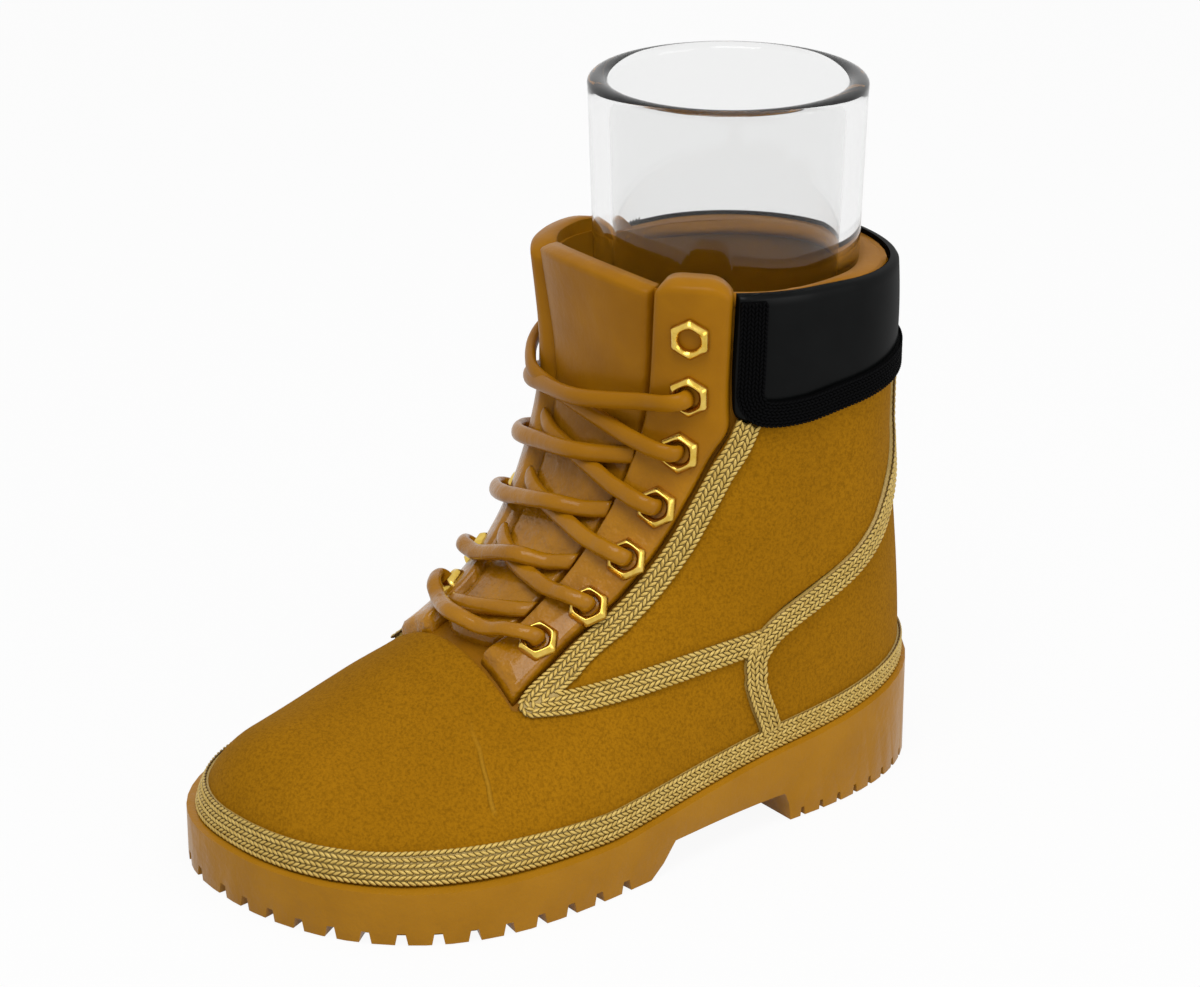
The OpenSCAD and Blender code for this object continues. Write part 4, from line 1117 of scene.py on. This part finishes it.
def from_eyelet(a, b):
    side = np.sign(a[0])
    edge = tongue_turn(a[1:], side)[0]
    reach = np.linalg.norm(heading(a, b)) * (abs(a[0]) - edge) / abs(a[0] - b[0])
    rim, hug = EYESTAY_STEP + EYELET_THICK + RIM_GAP, EYESTAY_STEP + BENT * LACE_R + RIM_GAP
    past, down = EYELET_SIZE / 2 + 0.2, max(reach * 0.75, EYELET_SIZE / 2 + 2)
    stops = [(0, EYESTAY_STEP + 0.35), (0, rim), (BEND_R * 0.3, rim + BEND_R * 0.7), (BEND_R, rim + BEND_R),
             (past, rim + BEND_R - 0.1), (between(past, down, 0.5), between(rim + BEND_R, hug, 0.6)),
             (down, hug + 0.2), (max(reach, EYELET_SIZE / 2 + 3), hug)]
    return [station(a, b, far, height, BENT) for far, height in stops]


def edge_spot(n, side):
    level = np.array([lace_level(n, side)])
    p = places(side * tongue_turn(level, side), level)[0]
    return np.array([p[0] + side * TUCK_IN / np.linalg.norm(along(p)), p[1]])


def from_edge(a, b, n, side, room):
    way = heading(edge_spot(n - 0.05, side), edge_spot(n + 0.05, side))
    across, on = station(a, b, 0, 0)[3:6], unit(heading(a, b))
    shear = np.clip(dot(way, on) / dot(way, across), -SHEAR_LIMIT, SHEAR_LIMIT)
    tip = np.concatenate([over(a, TONGUE_FACE + TUCKED * LACE_R), across + shear * on, [TUCKED]])
    return [tip, station(a, b, room * 0.4, TONGUE_FACE + BENT * LACE_R, BENT),
            station(a, b, room, TONGUE_FACE + PRESSED * LACE_R, PRESSED)]


def turned(stations):
    return [s * [1, 1, 1, -1, -1, -1, 1] for s in stations[::-1]]


def crossing(a, b, height):
    return station(a, b, np.linalg.norm(heading(a, b)) * a[0] / (a[0] - b[0]), height, PRESSED)


STRAND_RINGS, CORD_POINTS = 64, 16


def add_strand(bm, stations):
    drawn = spline(stations, np.linspace(0, 1, 600))
    run = lengths(drawn[:, :3])
    s = np.linspace(0, run[-1], STRAND_RINGS + 1)
    line = np.stack([np.interp(s, run, drawn[:, c]) for c in range(7)], -1)
    for _ in range(3):
        line[1:-1] = (line[:-2] + 2 * line[1:-1] + line[2:]) / 4
    way = np.gradient(line[:, :3], axis=0)
    across = line[:, 3:6]
    up = unit(np.cross(across, way))
    ring = bmesh.ops.create_circle(bm, cap_ends=True, segments=CORD_POINTS, radius=1.0)["verts"]
    angle = {v: math.atan2(v.co.y, v.co.x) for v in ring}
    for j in range(STRAND_RINGS + 1):
        if j:
            ring = extruded(bm, ring)
            angle = {v: next(angle[e.other_vert(v)] for e in v.link_edges if e.other_vert(v) in angle)
                     for v in ring}
        for v in ring:
            a = angle[v]
            v.co = Vector((line[j, :3] + LACE_R * (math.cos(a) * across[j]
                                                  + line[j, 6] * math.sin(a) * up[j])) * MM)
    bmesh.ops.contextual_create(bm, geom=ring)
    return lengths(line[:, :3])[-1]


def eyelet_to_edge(n, side, to, height):
    a, b = eyelet_spot(n, side), edge_spot(to, -side)
    room = np.linalg.norm(heading(a, b)) * b[0] / (b[0] - a[0]) * 0.5
    return from_eyelet(a, b) + [crossing(a, b, height)] + turned(from_edge(b, a, to, -side, room))


def eyelet_to_eyelet(n, side, to, height):
    a, b = eyelet_spot(n, side), eyelet_spot(to, -side)
    return from_eyelet(a, b) + [crossing(a, b, height)] + turned(from_eyelet(b, a))


def edge_to_edge(n, side, to):
    a, b = edge_spot(n, side), edge_spot(to, -side)
    room = np.linalg.norm(heading(a, b)) * 0.3
    return (from_edge(a, b, n, side, room) + [crossing(a, b, LACE_LOW)]
            + turned(from_edge(b, a, to, -side, room)))


strands = [eyelet_to_eyelet(1, 1, 1, LACE_HIGH), edge_to_edge(1.3, -1, 1.8),
           eyelet_to_eyelet(5, -1, 6, LACE_HIGH), eyelet_to_eyelet(5, 1, 6, LACE_LOW)]
for n in (2, 3, 4):
    strands += [eyelet_to_edge(n, -1, n + 0.8, LACE_HIGH), eyelet_to_edge(n, 1, n + 0.9, LACE_LOW)]
bm = bmesh.new()
lace_length = 0.0
for stations in strands:
    strand = bmesh.new()
    lace_length += add_strand(strand, stations)
    gather(bm, strand)
piece("lacing", bm, lace_resin, ["lace"])
print("lace length in mm:", round(lace_length))

# %% [markdown]
# The lining ends in a rounded lip inside the collar. It is one more bead drawn along a line, like the
# laces: narrow over the eyestays, and wider round the back, where the wall grows to hold the glass.

# %% Lip of the lining
CORE_DEPTH, LINING, LIP_HIGH, LIP_WIDER = 1.4, 1.6, 1.2, 3.0


def lip_station(turn):
    rim = skin(places(turn, COLLAR))
    top = places(turn, collar_top(rim[0], rim[1]) + 0.2 - LIP_HIGH)
    outside = SUEDE_THICK - 0.1
    inside = CORE_DEPTH + LINING + LIP_WIDER * ease(0.85, 1.35, half_turn(turn))
    half = (inside - outside) / 2
    middle = over(top, -(inside + outside) / 2)
    return np.concatenate([middle, outward(top) * half / LACE_R, [LIP_HIGH / LACE_R]])


lip_ends = float(collar_turn(np.array(COLLAR), 1)) - 0.12, 4 - float(collar_turn(np.array(COLLAR), -1)) + 0.12
bm = bmesh.new()
lip_length = add_strand(bm, [lip_station(np.array(turn)) for turn in np.linspace(*lip_ends, 25)])
piece("lining_lip", bm, core_resin, [])
print("lip length in mm:", round(lip_length))

# %% [markdown]
# The glass is turned: a profile, from the middle of the foot out, up the wall, over the rounded rim
# and down to the thick base, is spun once round the axis.

# %% Glass
RIM_R, GLASS_FOOT, RIM_Z, GLASS_WALL, GLASS_BASE = 21.0, 49.6, 109.6, 3.1, 9.0
TAPER = math.tan(math.radians(1.8))


def glass_profile():
    def wall(z):
        return RIM_R - (RIM_Z - z) * TAPER
    foot_r, bevel, half = wall(GLASS_FOOT), 0.8, GLASS_WALL / 2
    points = [(0, GLASS_FOOT), (foot_r - bevel, GLASS_FOOT)]
    points += [(foot_r - bevel + bevel * math.sin(a), GLASS_FOOT + bevel - bevel * math.cos(a))
               for a in np.linspace(0.3, math.pi / 2, 5)]
    points += [(wall(z), z) for z in np.linspace(GLASS_FOOT + 6, RIM_Z - 2, 10)]
    points += [(RIM_R - half + half * math.cos(a), RIM_Z - 1.0 + 1.0 * math.sin(a))
               for a in np.linspace(0, math.pi, 13)]
    floor_z, curve = GLASS_FOOT + GLASS_BASE, 4.0
    points += [(wall(z) - GLASS_WALL, z) for z in np.linspace(RIM_Z - 4, floor_z + 6, 9)]
    r = wall(floor_z) - GLASS_WALL
    points += [(r - curve + curve * math.cos(a), floor_z + curve - curve * math.sin(a))
               for a in np.linspace(0.1, math.pi / 2, 7)]
    return points + [(0, floor_z)]


bm = bmesh.new()
line = [bm.verts.new((x * MM, GLASS_Y * MM, z * MM)) for x, z in glass_profile()]
edges = [bm.edges.new(pair) for pair in zip(line, line[1:])]
bmesh.ops.spin(bm, geom=line + edges, cent=(0, GLASS_Y * MM, 0), axis=(0, 0, 1), angle=2 * math.pi, steps=96,
               use_merge=True)
bmesh.ops.remove_doubles(bm, verts=bm.verts[:], dist=WELD)
piece("tumbler", bm, clear, ["glass"], body="glass")

# %% [markdown]
# The sole and the cast body keep their CAD shapes. A copy of the sole is welded, its flat faces are
# joined, and its edges get a small round, because a cast edge is never sharp. A copy of the body is
# welded so that it can be shaded smoothly, which shows in the hollow in front of the glass.

# %% Sole and body
FLAT_ENOUGH, CAST_EDGE, EDGE_ROUND = math.radians(0.5), math.radians(28), 0.5
SOLE_CREASE, BODY_CREASE = math.radians(35), math.radians(40)


def welded(node):
    """A copy of a CAD node's mesh, with its loose triangles joined."""
    bm = bmesh.new()
    bm.from_mesh(frame["nodes"][node].data)
    bmesh.ops.remove_doubles(bm, verts=bm.verts[:], dist=2 * WELD)
    return bm


bm = welded("outsole")
bmesh.ops.dissolve_limit(bm, angle_limit=FLAT_ENOUGH, verts=bm.verts[:], edges=bm.edges[:])
sharp = [e for e in bm.edges if len(e.link_faces) == 2 and e.calc_face_angle() > CAST_EDGE]
bmesh.ops.bevel(bm, geom=sharp, offset=EDGE_ROUND * MM, segments=3, profile=0.5, affect="EDGES",
                clamp_overlap=True, material=-1)
sole = piece("lug_sole", bm, sole_resin, ["outsole"])
sole.data.set_sharp_from_angle(angle=SOLE_CREASE)
body = piece("boot_body", welded("boot_core"), core_resin, ["boot_core"])
body.data.set_sharp_from_angle(angle=BODY_CREASE)

# %% [markdown]
# Plain studio: a pale floor, a large soft light above the toe, a second one on the outer side, and a
# white world. What the camera, a reflection or the glass sees of the world and the floor is white,
# while the world lights the boot less strongly. The floor keeps a part of its own shading, so the
# shadow stays.

# %% Stage
WORLD_LIGHT, FLOOR_WHITE = 0.5, 0.93


def seen_directly(tree):
    """1 for what the camera, a reflection or the glass sees, 0 for light on its way to the boot."""
    rays = tree.nodes.new("ShaderNodeLightPath")
    seen = rays.outputs["Is Camera Ray"]
    for kind in ("Is Glossy Ray", "Is Transmission Ray"):
        either = tree.nodes.new("ShaderNodeMath")
        either.operation = "MAXIMUM"
        tree.links.new(seen, either.inputs[0])
        tree.links.new(rays.outputs[kind], either.inputs[1])
        seen = either.outputs[0]
    return seen


def between_sees(tree, unseen, direct):
    """One number for light on its way to the boot and another for what is seen directly."""
    share = tree.nodes.new("ShaderNodeMapRange")
    tree.links.new(seen_directly(tree), share.inputs[0])
    share.inputs[3].default_value, share.inputs[4].default_value = unseen, direct
    return share.outputs[0]


world = bpy.data.worlds.new("studio")
bpy.context.scene.world = world
world.use_nodes = True
background = world.node_tree.nodes["Background"]
background.inputs["Color"].default_value = (1, 1, 1, 1)
world.node_tree.links.new(between_sees(world.node_tree, WORLD_LIGHT, 1.0), background.inputs["Strength"])


def lamp(name, place, aim, size, watts):
    light = bpy.data.lights.new(name, "AREA")
    light.shape, light.size, light.energy = "SQUARE", size, watts
    made = bpy.data.objects.new(name, light)
    bpy.context.scene.collection.objects.link(made)
    made.location = place
    made.rotation_euler = (Vector(aim) - Vector(place)).to_track_quat("-Z", "Y").to_euler()


lamp("key", (0.25, -0.25, 0.75), (0, 0, 0.04), 0.45, 3.4)
lamp("fill", (0.75, 0.25, 0.35), (0, 0, 0.05), 0.5, 1.7)

bm = bmesh.new()
bmesh.ops.create_grid(bm, x_segments=1, y_segments=1, size=3.0)
mesh = bpy.data.meshes.new("floor")
bm.to_mesh(mesh)
bm.free()
floor = bpy.data.objects.new("floor", mesh)
bpy.context.scene.collection.objects.link(floor)
floor.location.z = -0.0002
paper = Finish("paper", Roughness=0.9, Base_Color=(0.78, 0.78, 0.78))
shining = paper.node("Emission", None, {"Color": (1.0, 1.0, 1.0), "Strength": 1.0})
mixed = paper.node("MixShader", None, {1: Flow(paper, paper.shader.outputs[0]), 2: shining.out(0)})
paper.tree.links.new(between_sees(paper.tree, 0.0, FLOOR_WHITE), mixed.made.inputs[0])
paper.tree.links.new(mixed.made.outputs[0], paper.tree.nodes["Material Output"].inputs["Surface"])
floor.data.materials.append(paper.material)
print("lamps:", len(bpy.data.lights))

# %% [markdown]
# Last, colours are shown as they are written.

# %% Finish
bpy.context.scene.view_settings.view_transform = "Standard"
bpy.context.view_layer.update()
